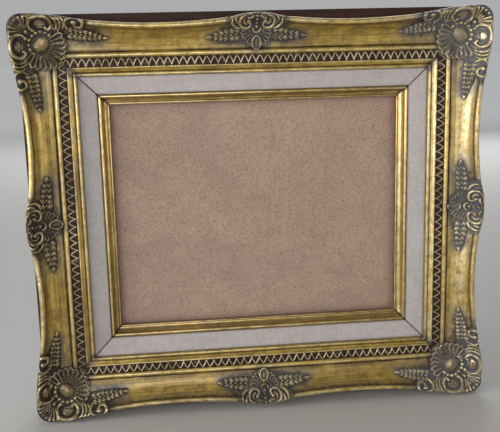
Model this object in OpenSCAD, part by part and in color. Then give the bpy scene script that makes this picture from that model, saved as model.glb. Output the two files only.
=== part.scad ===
// Ornate swept picture frame with a linen liner, a gilt slip and a hardboard back.
// Millimetres. +X is the viewer's right, +Z is up, the front faces -Y.
// Everything is drawn flat first: x along, y up the picture, z = height towards
// the viewer, zero at the front edge of the gilt slip. upright() stands it up.

/* [Picture opening] */
// Width of the sight opening inside the gilt slip, mm
sight_w = 241; // [200:1:320]
// Height of the sight opening inside the gilt slip, mm
sight_h = 189; // [170:1:260]
// How far the slip laps over each edge of the picture, mm
rebate_lap = 6.75; // [5:0.25:8]
// Depth of the picture rebate behind the slip, mm
rebate_d = 2.2; // [1.5:0.1:4]
// Thickness of the hardboard backing, mm
board_t = 3; // [2:0.5:4]

/* [Slip and liner] */
// Width of the gilt slip seen from the front, mm
slip_w = 8.7; // [8.7:0.1:11]
// Rise of the slip from its sight edge to its outer bead, mm
slip_rise = 6; // [5:0.1:7]
// Width of linen seen between the slip and the moulding, mm
linen_w = 14.4; // [12:0.2:20]
// Rise of the linen across its width, mm
linen_rise = 3.5; // [2:0.1:5]
// Thickness of the linen with its glue, mm
linen_t = 0.8; // [0.5:0.1:1]
// Open gap at each mitre of the slip and liner, mm
mitre_gap = 0.3; // [0.1:0.05:0.6]

/* [Gilded moulding] */
// Width of the moulding at the corners, from linen to outer edge, mm
moulding_w = 50.4; // [50:0.2:56]
// How far the swept edge dips between two ornaments, mm
sweep_dip = 10; // [6:0.25:11]
// Radius of the rounded outer corners, mm
corner_r = 11; // [6:0.5:14]
// Width of the rim bead along the swept edge, mm
rim_w = 4.4; // [3.6:0.1:5]
// Pitch of the lamb's tongue pattern, mm
tongue_pitch = 6.3; // [5:0.1:9]

/* [Straight back frame] */
// Outer margin of the top and bottom back bars beyond the sight, mm
back_long_m = 72; // [66:0.5:73]
// Outer margin of the side back bars beyond the sight, mm
back_side_m = 68; // [62:0.5:70]
// Chamfer on the outer edges of the back bars, mm
back_chamfer = 1.2; // [0.4:0.1:2]

/* [Hardware] */
// Length of a turn button, mm
button_len = 27; // [24:0.5:32]
// Width of a turn button, mm
button_w = 10; // [8:0.5:12]
// Thickness of a turn button, mm
button_t = 1.2; // [0.8:0.1:2]
// Radius of the hanging ring's wire, mm
wire_r = 1.2; // [0.9:0.05:1.5]
// Height of the hanging rings above the middle, mm
ring_up = 62; // [30:1:75]
// Thickness of the wall pads, mm
pad_t = 5; // [4.8:0.1:8]

/* [Hidden] */
lip_t = 3;                              // slip thickness at the sight edge
e = slip_w + linen_w;                   // margin of the moulding's sight edge
b = slip_rise + linen_rise;             // height of the moulding's flat back
M = e + moulding_w;                     // margin of the outer edge at the corners
m_mid = M - sweep_dip;                  // margin of the outer edge at its lowest dip
liner_back = -lip_t - rebate_d;
back_h = liner_back - board_t;          // back plane of wood and board
rab = e + 6.7;                          // margin of the wall of the frame's rebate
Lx = sight_w / 2 + M;
Ly = sight_h / 2 + M;
front_h = 30;                           // highest point of the ornaments
rear_h = back_h - pad_t;
shift = (front_h + rear_h) / 2;
clr = 0.06;
strap_t = 1.0;
pin_z = strap_t + clr + wire_r;
ring_x = sight_w / 2 + (rab + back_side_m) / 2;
button_m = rab + 6.7;                   // margin of the turn buttons' pivots
button_x = sight_w * 0.29;
shank = 1.9;
pi_ = 3.14159265;

GOLD = [0.72, 0.58, 0.28];
DARK = [0.22, 0.14, 0.10];
LINEN = [0.78, 0.76, 0.72];
WOOD = [0.72, 0.58, 0.42];
BOARD = [0.60, 0.46, 0.37];
STEEL = [0.72, 0.70, 0.66];
BRASS = [0.78, 0.66, 0.38];
FELT = [0.16, 0.16, 0.16];

// ---- helpers ----
function arc(cx, cy, r, a0, a1, n) =
  [for (i = [0 : n]) [cx + r * cos(a0 + (a1 - a0) * i / n), cy + r * sin(a0 + (a1 - a0) * i / n)]];

module upright() translate([0, shift, 0]) rotate([90, 0, 0]) children();

// side 0 top, 1 left, 2 bottom, 3 right; inside, x runs along and y is the margin
module side(i) rotate([0, 0, 90 * i]) translate([0, (i % 2 == 0 ? sight_h : sight_w) / 2, 0]) children();
function half(i) = (i % 2 == 0 ? sight_w : sight_h) / 2;

// a mitred length of a profile given as [margin, height]
module mitred(i, prof, m0, m1, gap = 0) intersection() {
  translate([-half(i) - M - 2, 0, 0]) rotate([90, 0, 90]) linear_extrude(2 * (half(i) + M + 2)) polygon(prof);
  translate([0, 0, -20]) linear_extrude(70)
    polygon([[-half(i) - m0 + gap, m0], [half(i) + m0 - gap, m0], [half(i) + m1 - gap, m1], [-half(i) - m1 + gap, m1]]);
}

// pill-shaped rod between two points
module rod(p, q, r1, r2) {
  d = q - p;
  l = norm(d);
  translate(p) rotate([0, acos(d[2] / l), atan2(d[1], d[0])]) cylinder(h = l, r1 = r1, r2 = r2, $fn = 24);
}

// ---- gilded moulding ----
cove = [for (i = [0 : 8]) let (t = 76 * i / 8)
  [e + 19.6 + 16.4 * sin(t) / sin(76), b + 4.9 + 11.4 * (1 - cos(t)) / (1 - cos(76))]];
front = concat(
  [[e, b + 2.3]],
  arc(e + 1.5, b + 2.3, 1.5, 165, 15, 5),
  [[e + 3.15, b + 2.6]],
  arc(e + 4.4, b + 3.4, 1.1, 165, 15, 4),
  [[e + 5.8, b + 4.5], [e + 7.3, b + 5.1], [e + 7.4, b + 3.3], [e + 14.5, b + 3.3], [e + 14.6, b + 4.0]],
  arc(e + 16.7, b + 4.0, 2.1, 165, 15, 5),
  [[e + 19.1, b + 4.1]],
  cove,
  [[M, b + 16.3]]);
profile = concat([[e, b]], front, [[M, b]]);
function surf(m) = lookup(m, concat([[0, b + 2.3]], front));

// the swept outer edge of one side, as two wide circles
function xm(i) = (half(i) + M - 38) / 2;
function sweep_r(i) = (pow((half(i) + M - 82) / 2, 2) + 9) / 6;

module swept_outline(i) linear_extrude(70) difference() {
  polygon([[-half(i) - e, e], [half(i) + e, e], [half(i) + M, M], [-half(i) - M, M]]);
  for (s = [-1, 1]) {
    translate([s * xm(i), m_mid + sweep_r(i)]) circle(r = sweep_r(i), $fn = 256);
    difference() {
      translate([s > 0 ? half(i) + M - corner_r : -half(i) - M - 1, M - corner_r]) square([corner_r + 1, corner_r + 1]);
      translate([s * (half(i) + M - corner_r), M - corner_r]) circle(r = corner_r, $fn = 64);
    }
  }
}

module rim(i) for (s = [-1, 1]) {
  R = sweep_r(i);
  a = asin((xm(i) + 1) / R);
  translate([s * xm(i), m_mid + R, b + 16]) rotate([0, 0, 270 - a]) rotate_extrude(angle = 2 * a, $fn = 256)
    polygon(concat([[R - 1.5, 0], [R - 1.5, 1.6]],
      [for (k = [0 : 6]) [R + rim_w / 2 - rim_w / 2 * cos(20 + 160 * k / 6), 0.3 + 2.1 * sin(20 + 160 * k / 6)]],
      [[R + rim_w, 0]]));
}

module rail_flat(i) intersection() {
  union() {
    mitred(i, profile, e, M);
    rim(i);
  }
  swept_outline(i);
}
module rail(i) color(GOLD) upright() side(i) rail_flat(i);

// ---- straight dark back frame ----
module bar_profile(m1) polygon([[rab, back_h], [rab, b], [m1 - back_chamfer, b], [m1, b - back_chamfer],
  [m1, back_h + back_chamfer], [m1 - back_chamfer, back_h]]);

module back_bar(i) color(DARK) upright() difference() {
  side(i) {
    l = i % 2 == 0 ? sight_w / 2 + back_side_m : sight_h / 2 + rab;
    translate([-l, 0, 0]) rotate([90, 0, 90]) linear_extrude(2 * l) bar_profile(i % 2 == 0 ? back_long_m : back_side_m);
  }
  fasteners();
  for (p = button_at) translate([p[0], p[1], back_h]) cylinder(h = 20, r = shank, center = true, $fn = 32);
  for (s = [-1, 1], y = [-9, -21]) translate([s * ring_x, ring_up + y, back_h]) cylinder(h = 22, r = 1.6, center = true, $fn = 32);
}

// corrugated fasteners across the butt joints of the back bars
module wave() {
  top = [for (k = [0 : 8]) [(k % 2 == 0 ? -1.2 : 1.2) + 0.35, -12 + 3 * k]];
  bot = [for (k = [8 : -1 : 0]) [(k % 2 == 0 ? -1.2 : 1.2) - 0.35, -12 + 3 * k]];
  linear_extrude(9) polygon(concat(top, bot));
}
module fasteners() for (sx = [-1, 1], sy = [-1, 1], k = [0.3, 0.72])
  translate([sx * (sight_w / 2 + rab + (back_side_m - rab) * k), sy * (sight_h / 2 + rab), back_h]) wave();

// ---- lamb's tongue strips ----
module tongue_strip(i) color(GOLD) upright() side(i) {
  l = half(i) + e + 7.4;
  n = 2 * floor(l / tongue_pitch) + 1;
  pk = 2 * l / n;
  zig = [for (k = [0 : 2 * n]) [-l + pk * k / 2, k % 2 == 0 ? 1 : -1]];
  mm = e + 10.95;
  mitred(i, [[e + 7.4, b + 3.3], [e + 7.4, b + 3.8], [e + 14.5, b + 3.8], [e + 14.5, b + 3.3]], e + 7.4, e + 14.5);
  intersection() {
    translate([0, 0, b + 3.8]) linear_extrude(1.3) polygon(concat(
      [for (p = zig) [p[0], mm + 2.35 * p[1] + 0.75]],
      [for (k = [2 * n : -1 : 0]) [zig[k][0], mm + 2.35 * zig[k][1] - 0.75]]));
    linear_extrude(60) polygon([[-l, e + 7.4], [l, e + 7.4], [l + 7.1, e + 14.5], [-l - 7.1, e + 14.5]]);
  }
}

// ---- corner ornaments, drawn for the top right corner, origin at the outer corner ----
function hc(a, c) = surf(M - min(a, c));
fan_c = [22, 22];

module corner_shape() {
  translate([-24, -24]) circle(r = 19, $fn = 64);
  translate([-12, -12]) circle(r = 11, $fn = 48);
  for (k = [0, 1]) mirror([k, -k, 0]) {
    translate([-31, -11]) circle(r = 9.5, $fn = 48);
    translate([-45, -10.5]) circle(r = 7.5, $fn = 48);
    translate([-55, -10]) circle(r = 4.6, $fn = 48);
    translate([-60, -17.2]) rotate(10) scale([16, 4.6]) circle(r = 1, $fn = 48);
  }
}

module spray(p0, p1, n) {
  d = (p1 - p0) / norm(p1 - p0);
  q = [-d[1], d[0]];
  for (k = [0 : n - 1], s = [-1, 1]) {
    w = 3.1 * (1 - 0.62 * k / (n - 1));
    c = p0 + d * (norm(p1 - p0) * (k + 0.3) / n) + q * (s * w * 0.62);
    translate([-c[0], -c[1], hc(c[0], c[1]) + 1.5]) sphere(r = w * 0.62, $fn = 20);
  }
  translate([-p1[0], -p1[1], hc(p1[0], p1[1]) + 1.4]) sphere(r = 1.1, $fn = 20);
}

module corner_pad(i, sx) intersection() {
  side(i) translate([0, 0, 1.8]) mitred(i, profile, e, M);
  translate([Lx, Ly, b]) linear_extrude(40) corner_shape();
}

module corner_flat() difference() {
  union() {
    corner_pad(0);
    corner_pad(3);
    translate([Lx, Ly, 0]) {
      // shell fan facing the picture
      for (k = [-7 : 7]) {
        t = 225 + k * 14;
        p = [fan_c[0] - 5.5 * cos(t), fan_c[1] - 5.5 * sin(t)];
        q = [fan_c[0] - 18 * cos(t), fan_c[1] - 18 * sin(t)];
        hq = max(hc(q[0], q[1]) + 1.9, 17.5);
        rod([-p[0], -p[1], 21.5], [-q[0], -q[1], hq], 0.9, 1.95);
      }
      translate([-fan_c[0], -fan_c[1], 14]) cylinder(h = 7.2, r = 6.6, $fn = 48);
      translate([-fan_c[0], -fan_c[1], 21.4]) rotate(-45) scale([6.4, 4.3, 4]) sphere(r = 1, $fn = 32);
      // small fan at the outer tip, with its pearl
      for (k = [-4 : 4]) {
        t = 45 + k * 19;
        rod([-11.5 + 2 * cos(t), -11.5 + 2 * sin(t), 27.4], [-11.5 + 8.6 * cos(t), -11.5 + 8.6 * sin(t), 26.6], 0.8, 1.5);
      }
      translate([-11.8, -11.8, 27.6]) sphere(r = 1.9, $fn = 24);
      for (k = [0, 1]) mirror([k, -k, 0]) {
        // scroll, then leaf curls, along the outer edge
        translate([-30, -10.2, front_h - 1.9]) rotate([0, 0, 20]) rotate_extrude(angle = 250, $fn = 48) translate([5.6, 0]) circle(r = 1.9, $fn = 20);
        translate([-24.2, -13.4, 27.4]) sphere(r = 2.3, $fn = 24);
        translate([-44, -9.6, 27.6]) rotate([0, 0, 200]) rotate_extrude(angle = 230, $fn = 48) translate([4.2, 0]) circle(r = 1.7, $fn = 20);
        translate([-53.5, -9.6, 27.2]) rotate([0, 0, 30]) rotate_extrude(angle = 230, $fn = 48) translate([2.9, 0]) circle(r = 1.4, $fn = 20);
        spray([46, 14.6], [75, 19.2], 6);
      }
    }
  }
  side(0) rail_flat(0);
  side(3) rail_flat(3);
}
module corner_ornament(sx, sy) color(GOLD) upright() scale([1, 1, 1])
  mirror([sx < 0 ? 1 : 0, 0, 0]) mirror([0, sy < 0 ? 1 : 0, 0]) corner_flat();

// ---- centre ornaments ----
module centre_shape() {
  translate([0, 53.5]) circle(r = 13.5, $fn = 64);
  for (s = [-1, 1]) {
    translate([s * 11, 61]) circle(r = 8.2, $fn = 48);
    translate([s * 28, 54]) scale([14, 4.6]) circle(r = 1, $fn = 48);
  }
}

module centre_flat(i) difference() {
  union() {
    intersection() {
      translate([0, 0, 1.8]) mitred(i, profile, e, M);
      translate([0, 0, b]) linear_extrude(40) centre_shape();
      translate([-60, e, 0]) cube([120, M - e - 4.2, 60]);
    }
    for (k = [-5 : 5]) {
      t = 270 + k * 15;
      p = [3.5 * cos(t), 56 + 3.5 * sin(t)];
      q = [13.2 * cos(t), 56 + 13.2 * sin(t)];
      hq = surf(q[1]) + 1.8;
      rod([p[0], p[1], 22], [q[0], q[1], hq], 0.8, 1.6);
      translate([q[0], q[1], hq]) sphere(r = k == 0 ? 2.6 : 1.7, $fn = 20);
    }
    translate([0, 57.5, 16]) cylinder(h = 8.5, r = 3.6, $fn = 40);
    translate([0, 57.5, 24.4]) rotate_extrude($fn = 40) translate([2.9, 0]) circle(r = 1, $fn = 16);
    for (k = [0 : 3]) translate([0, 58.4 + 2.9 * k, 26.6]) sphere(r = 1.5, $fn = 20);
    for (s = [-1, 1]) {
      translate([s * 9.4, 61.6, 27.6]) mirror([s < 0 ? 1 : 0, 0, 0]) rotate([0, 0, -100]) rotate_extrude(angle = 260, $fn = 48) translate([4.6, 0]) circle(r = 1.8, $fn = 20);
      translate([s * 5.2, 58.6, 26.6]) sphere(r = 1.9, $fn = 20);
      translate([s * 18, 62.2, 26.6]) rotate([0, 0, s > 0 ? -40 : 40]) scale([4.6, 2.2, 1.7]) sphere(r = 1, $fn = 24);
      for (k = [0 : 5], w = [-1, 1]) {
        r = 3.2 * (1 - 0.6 * k / 5) * 0.62;
        c = [s * (19 + 3.7 * k), 54 + w * r];
        translate([c[0], c[1], surf(c[1]) + 1.5]) sphere(r = r, $fn = 20);
      }
      translate([s * 41, 54, surf(54) + 1.2]) sphere(r = 1.1, $fn = 20);
    }
  }
  rail_flat(i);
}
module centre_ornament(i) color(GOLD) upright() side(i) centre_flat(i);

// ---- liner: wood core, linen and gilt slip ----
liner_prof = [[rebate_lap, liner_back], [rebate_lap, -lip_t], [slip_w, -lip_t], [slip_w, slip_rise - linen_t],
  [e, b - linen_t], [rab - 0.5, b - linen_t], [rab - 0.5, liner_back]];
module liner_rail(i) color(WOOD) upright() difference() {
  side(i) mitred(i, liner_prof, rebate_lap, rab - 0.5, mitre_gap / 2);
  vnails();
}
module vnails() for (sx = [-1, 1], sy = [-1, 1])
  mirror([sx < 0 ? 1 : 0, 0, 0]) mirror([0, sy < 0 ? 1 : 0, 0])
    translate([sight_w / 2 + 20, sight_h / 2 + 20, liner_back]) linear_extrude(5)
      polygon([[0.3, 0.3], [-5, 0.3], [-5, -0.3], [-0.3, -0.3], [-0.3, -5], [0.3, -5]]);

linen_prof = [[slip_w, slip_rise - linen_t], [slip_w, slip_rise], [e, b], [rab - 0.5, b], [rab - 0.5, b - linen_t], [e, b - linen_t]];
module linen(i) color(LINEN) upright() side(i) mitred(i, linen_prof, slip_w, rab - 0.5, mitre_gap / 2);

slip_prof = concat(
  [[0, -lip_t], [0, -0.75]], arc(0.75, -0.75, 0.75, 170, 10, 5),
  [for (k = [0 : 5]) let (t = 70 * k / 5) [1.7 + 3.7 * sin(t) / sin(70), -0.7 + (slip_rise - 2) * (1 - cos(t)) / (1 - cos(70))]],
  arc(6.9, slip_rise - 1.5, 1.4, 170, 10, 6),
  [[slip_w, slip_rise - 1.7], [slip_w, -lip_t]]);
module gilt_slip(i) color(GOLD) upright() side(i) mitred(i, slip_prof, 0, slip_w, mitre_gap / 2);

// ---- backing board ----
module backboard() color(BOARD) upright()
  translate([-sight_w / 2 - rab + 0.4, -sight_h / 2 - rab + 0.4, back_h]) cube([sight_w + 2 * rab - 0.8, sight_h + 2 * rab - 0.8, board_t]);

module liner_vnails() color(STEEL) upright() vnails();
module joint_fasteners() color(STEEL) upright() fasteners();

// ---- turn buttons: [x, y, direction of the arm] ----
button_at = [
  [-button_x, sight_h / 2 + button_m, 270], [button_x, sight_h / 2 + button_m, 270],
  [-button_x, -sight_h / 2 - button_m, 90], [button_x, -sight_h / 2 - button_m, 90],
  [-sight_w / 2 - button_m, 0, 0], [sight_w / 2 + button_m, 0, 180]];

module turn_button(k) color(BRASS) upright() translate([button_at[k][0], button_at[k][1], back_h - clr - button_t]) rotate([0, 0, button_at[k][2]])
  difference() {
    union() {
      cylinder(h = button_t, r = button_w / 2, $fn = 48);
      translate([0, -button_w / 2, 0]) cube([button_len - button_w, button_w, button_t]);
      translate([button_len - button_w, 0, 0]) cylinder(h = button_t, r = button_w / 2, $fn = 48);
    }
    translate([0, 0, -1]) cylinder(h = button_t + 2, r = shank + clr, $fn = 48);
  }

module screw(r, head_r, head_t, gap, len) difference() {
  union() {
    translate([0, 0, -gap]) cylinder(h = len + gap, r = r, $fn = 32);
    translate([0, 0, -gap - head_t * 0.45]) cylinder(h = head_t * 0.45, r = head_r, $fn = 40);
    translate([0, 0, -gap - head_t]) cylinder(h = head_t * 0.55, r1 = head_r * 0.72, r2 = head_r, $fn = 40);
  }
  for (a = [0, 90]) rotate([0, 0, a]) translate([-1.7, -0.4, -gap - head_t - 1]) cube([3.4, 0.8, 1.9]);
}
module button_screws() color(STEEL) upright() for (p = button_at)
  translate([p[0], p[1], back_h]) screw(shank, 3.6, 1.7, button_t + 2 * clr, 10);

// ---- hangers ----
module hanger_strap(s) color(STEEL) upright() translate([s * ring_x, ring_up, back_h]) rotate([0, 180, 0]) difference() {
  union() {
    translate([-4.5, -22, 0]) cube([9, 22, strap_t]);
    translate([0, -22, 0]) cylinder(h = strap_t, r = 4.5, $fn = 48);
    translate([-4.5, 0, pin_z]) rotate([0, 90, 0]) cylinder(h = 9, r = pin_z, $fn = 48);
  }
  translate([-6, 0, pin_z]) rotate([0, 90, 0]) cylinder(h = 12, r = wire_r + clr, $fn = 48);
  for (y = [-9, -21]) translate([0, y, -1]) cylinder(h = 4, r = 1.6, $fn = 32);
}
module hanger_ring(s) color(STEEL) upright() translate([s * ring_x, ring_up, back_h - pin_z]) {
  translate([-8, 0, 0]) rotate([0, 90, 0]) cylinder(h = 16, r = wire_r, $fn = 32);
  for (k = [-1, 1]) {
    translate([k * 8, 0, 0]) sphere(r = wire_r, $fn = 32);
    translate([k * 8, -6, 0]) rotate([-90, 0, 0]) cylinder(h = 6, r = wire_r, $fn = 32);
  }
  translate([0, -6, 0]) rotate([0, 0, 180]) rotate_extrude(angle = 180, $fn = 64) translate([8, 0]) circle(r = wire_r, $fn = 32);
}
module hanger_screws() color(STEEL) upright() for (s = [-1, 1], y = [-9, -21])
  translate([s * ring_x, ring_up + y, back_h]) screw(1.6, 3, 1.5, strap_t, 11);

// ---- wall pads ----
module wall_pad(sx, sy) color(FELT) upright() translate([sx * (sight_w / 2 + back_side_m - 12), sy * (sight_h / 2 + back_long_m - 12), rear_h])
  cylinder(h = pad_t, r1 = 5.6, r2 = 6.4, $fn = 48);

rail(0);  // rail_top
rail(1);  // rail_left
rail(2);  // rail_bottom
rail(3);  // rail_right
back_bar(0);  // back_bar_top
back_bar(1);  // back_bar_left
back_bar(2);  // back_bar_bottom
back_bar(3);  // back_bar_right
tongue_strip(0);  // tongue_strip_top
tongue_strip(1);  // tongue_strip_left
tongue_strip(2);  // tongue_strip_bottom
tongue_strip(3);  // tongue_strip_right
corner_ornament(-1, 1);  // corner_ornament_tl
corner_ornament(1, 1);  // corner_ornament_tr
corner_ornament(-1, -1);  // corner_ornament_bl
corner_ornament(1, -1);  // corner_ornament_br
centre_ornament(0);  // centre_ornament_top
centre_ornament(1);  // centre_ornament_left
centre_ornament(2);  // centre_ornament_bottom
centre_ornament(3);  // centre_ornament_right
liner_rail(0);  // liner_rail_top
liner_rail(1);  // liner_rail_left
liner_rail(2);  // liner_rail_bottom
liner_rail(3);  // liner_rail_right
linen(0);  // linen_top
linen(1);  // linen_left
linen(2);  // linen_bottom
linen(3);  // linen_right
gilt_slip(0);  // gilt_slip_top
gilt_slip(1);  // gilt_slip_left
gilt_slip(2);  // gilt_slip_bottom
gilt_slip(3);  // gilt_slip_right
backboard();
liner_vnails();
joint_fasteners();
turn_button(0);  // turn_button_tl
turn_button(1);  // turn_button_tr
turn_button(2);  // turn_button_bl
turn_button(3);  // turn_button_br
turn_button(4);  // turn_button_l
turn_button(5);  // turn_button_r
button_screws();
hanger_strap(-1);  // hanger_strap_left
hanger_strap(1);  // hanger_strap_right
hanger_ring(-1);  // hanger_ring_left
hanger_ring(1);  // hanger_ring_right
hanger_screws();
wall_pad(-1, 1);  // wall_pad_tl
wall_pad(1, 1);  // wall_pad_tr
wall_pad(-1, -1);  // wall_pad_bl
wall_pad(1, -1);  // wall_pad_br
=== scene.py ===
"""Ornate swept picture frame with a linen liner, a gilt slip and a hardboard back.
Lengths in the tables below are millimetres in the flat frame of the part: x to the right, y up the
picture, h the height towards the viewer from the front edge of the slip."""
import math

import bpy
import numpy as np
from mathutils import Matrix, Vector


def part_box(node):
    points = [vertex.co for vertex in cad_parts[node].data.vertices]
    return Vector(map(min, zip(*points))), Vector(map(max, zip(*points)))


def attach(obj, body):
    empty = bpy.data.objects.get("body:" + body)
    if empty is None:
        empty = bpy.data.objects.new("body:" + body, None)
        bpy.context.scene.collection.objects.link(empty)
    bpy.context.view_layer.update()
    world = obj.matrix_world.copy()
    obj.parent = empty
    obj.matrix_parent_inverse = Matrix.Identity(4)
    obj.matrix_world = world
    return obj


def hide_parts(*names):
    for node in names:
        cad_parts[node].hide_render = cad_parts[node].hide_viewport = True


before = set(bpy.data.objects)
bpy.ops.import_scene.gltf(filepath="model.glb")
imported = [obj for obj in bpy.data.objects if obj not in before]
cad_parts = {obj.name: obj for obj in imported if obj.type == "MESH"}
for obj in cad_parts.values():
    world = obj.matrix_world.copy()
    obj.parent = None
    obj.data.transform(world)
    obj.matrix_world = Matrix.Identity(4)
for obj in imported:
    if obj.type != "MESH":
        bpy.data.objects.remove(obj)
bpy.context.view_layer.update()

# ---------------------------------------------------------------- sizes from the CAD nodes
_, _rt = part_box("rail_right")
_, _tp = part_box("rail_top")
LX, LY = _rt[0] * 1000, _tp[2] * 1000
_blo, _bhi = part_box("backboard")
SHIFT = _bhi[1] * 1000 - 8.2
SW, SH = LX - 73.5, LY - 73.5
M = 72.4
OX, OY = SW + M, SH + M
E, B = 23.1, 9.5
RAB = 29.8
CORNER_R = 11.0
BACK = -8.2


def half(i):
    return SW if i % 2 == 0 else SH


def to_world(i, x, m, h):
    """Side i (0 top, 1 left, 2 bottom, 3 right), x along, m margin beyond the sight, h height."""
    d = (SH if i % 2 == 0 else SW) + m
    if i == 0:
        fx, fy = x, d
    elif i == 1:
        fx, fy = -d, x
    elif i == 2:
        fx, fy = -x, -d
    else:
        fx, fy = d, -x
    return np.stack([fx, SHIFT - h + 0 * fx, fy], -1) * 0.001


def flat_to_world(fx, fy, h):
    return np.stack([fx, SHIFT - h + 0 * fx, fy], -1) * 0.001


# ---------------------------------------------------------------- small helpers
def smooth(t):
    t = np.clip(t, 0, 1)
    return t * t * (3 - 2 * t)


def gauss(x, c, w):
    return np.exp(-(((x - c) / w) ** 2))


def blur(a, sigma):
    """Separable Gaussian blur of a 2D array, sigma in cells, edges held."""
    r = max(1, int(3 * sigma))
    k = np.exp(-0.5 * (np.arange(-r, r + 1) / sigma) ** 2)
    k /= k.sum()
    for ax in (0, 1):
        p = np.pad(a, [(r, r) if n == ax else (0, 0) for n in (0, 1)], mode="edge")
        out = np.zeros_like(a)
        for j, w in enumerate(k):
            out += w * (p[j : j + a.shape[0], :] if ax == 0 else p[:, j : j + a.shape[1]])
        a = out
    return a


def value_noise(x, y, cell, seed):
    """Smooth random field in -1..1 with features about a cell wide."""
    g = np.random.default_rng(seed)
    n = 64
    t = g.uniform(-1, 1, (n, n))
    u, v = x / cell, y / cell
    iu, iv = np.floor(u).astype(int), np.floor(v).astype(int)
    fu, fv = smooth(u - iu), smooth(v - iv)
    a = t[iu % n, iv % n] * (1 - fu) + t[(iu + 1) % n, iv % n] * fu
    b = t[iu % n, (iv + 1) % n] * (1 - fu) + t[(iu + 1) % n, (iv + 1) % n] * fu
    return a * (1 - fv) + b * fv


def grid_faces(nu, nv, flip=False, off=0):
    i = np.arange(nu - 1)[:, None] * nv + np.arange(nv - 1)[None, :]
    f = np.stack([i, i + nv, i + nv + 1, i + 1], -1).reshape(-1, 4) + off
    return f[:, ::-1] if flip else f


def make(name, verts, faces, mat, attrs=None, body="frame", nodes=(), sharp=40.0):
    """A mesh piece from quads (or triangles) given as index arrays."""
    name = name + "_visual"
    me = bpy.data.meshes.new(name)
    verts = np.asarray(verts, np.float32)
    faces = [np.asarray(f, np.int32) for f in (faces if isinstance(faces, list) else [faces])]
    me.vertices.add(len(verts))
    me.vertices.foreach_set("co", verts.ravel())
    nl = sum(f.size for f in faces)
    me.loops.add(nl)
    me.loops.foreach_set("vertex_index", np.concatenate([f.ravel() for f in faces]))
    sizes = np.concatenate([np.full(len(f), f.shape[1], np.int32) for f in faces])
    me.polygons.add(len(sizes))
    me.polygons.foreach_set("loop_start", np.concatenate([[0], np.cumsum(sizes)[:-1]]).astype(np.int32))
    me.update(calc_edges=True)
    me.validate()
    me.polygons.foreach_set("use_smooth", np.ones(len(me.polygons), bool))
    for k, v in (attrs or {}).items():
        v = np.asarray(v, np.float32)
        if v.ndim == 2:
            a = me.attributes.new(k, "FLOAT_VECTOR", "POINT")
            a.data.foreach_set("vector", v.ravel())
        else:
            a = me.attributes.new(k, "FLOAT", "POINT")
            a.data.foreach_set("value", v)
    if sharp:
        me.set_sharp_from_angle(angle=math.radians(sharp))
    ob = bpy.data.objects.new(name, me)
    bpy.context.scene.collection.objects.link(ob)
    me.materials.append(mat)
    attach(ob, body)
    if nodes:
        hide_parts(*nodes)
    return ob


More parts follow.
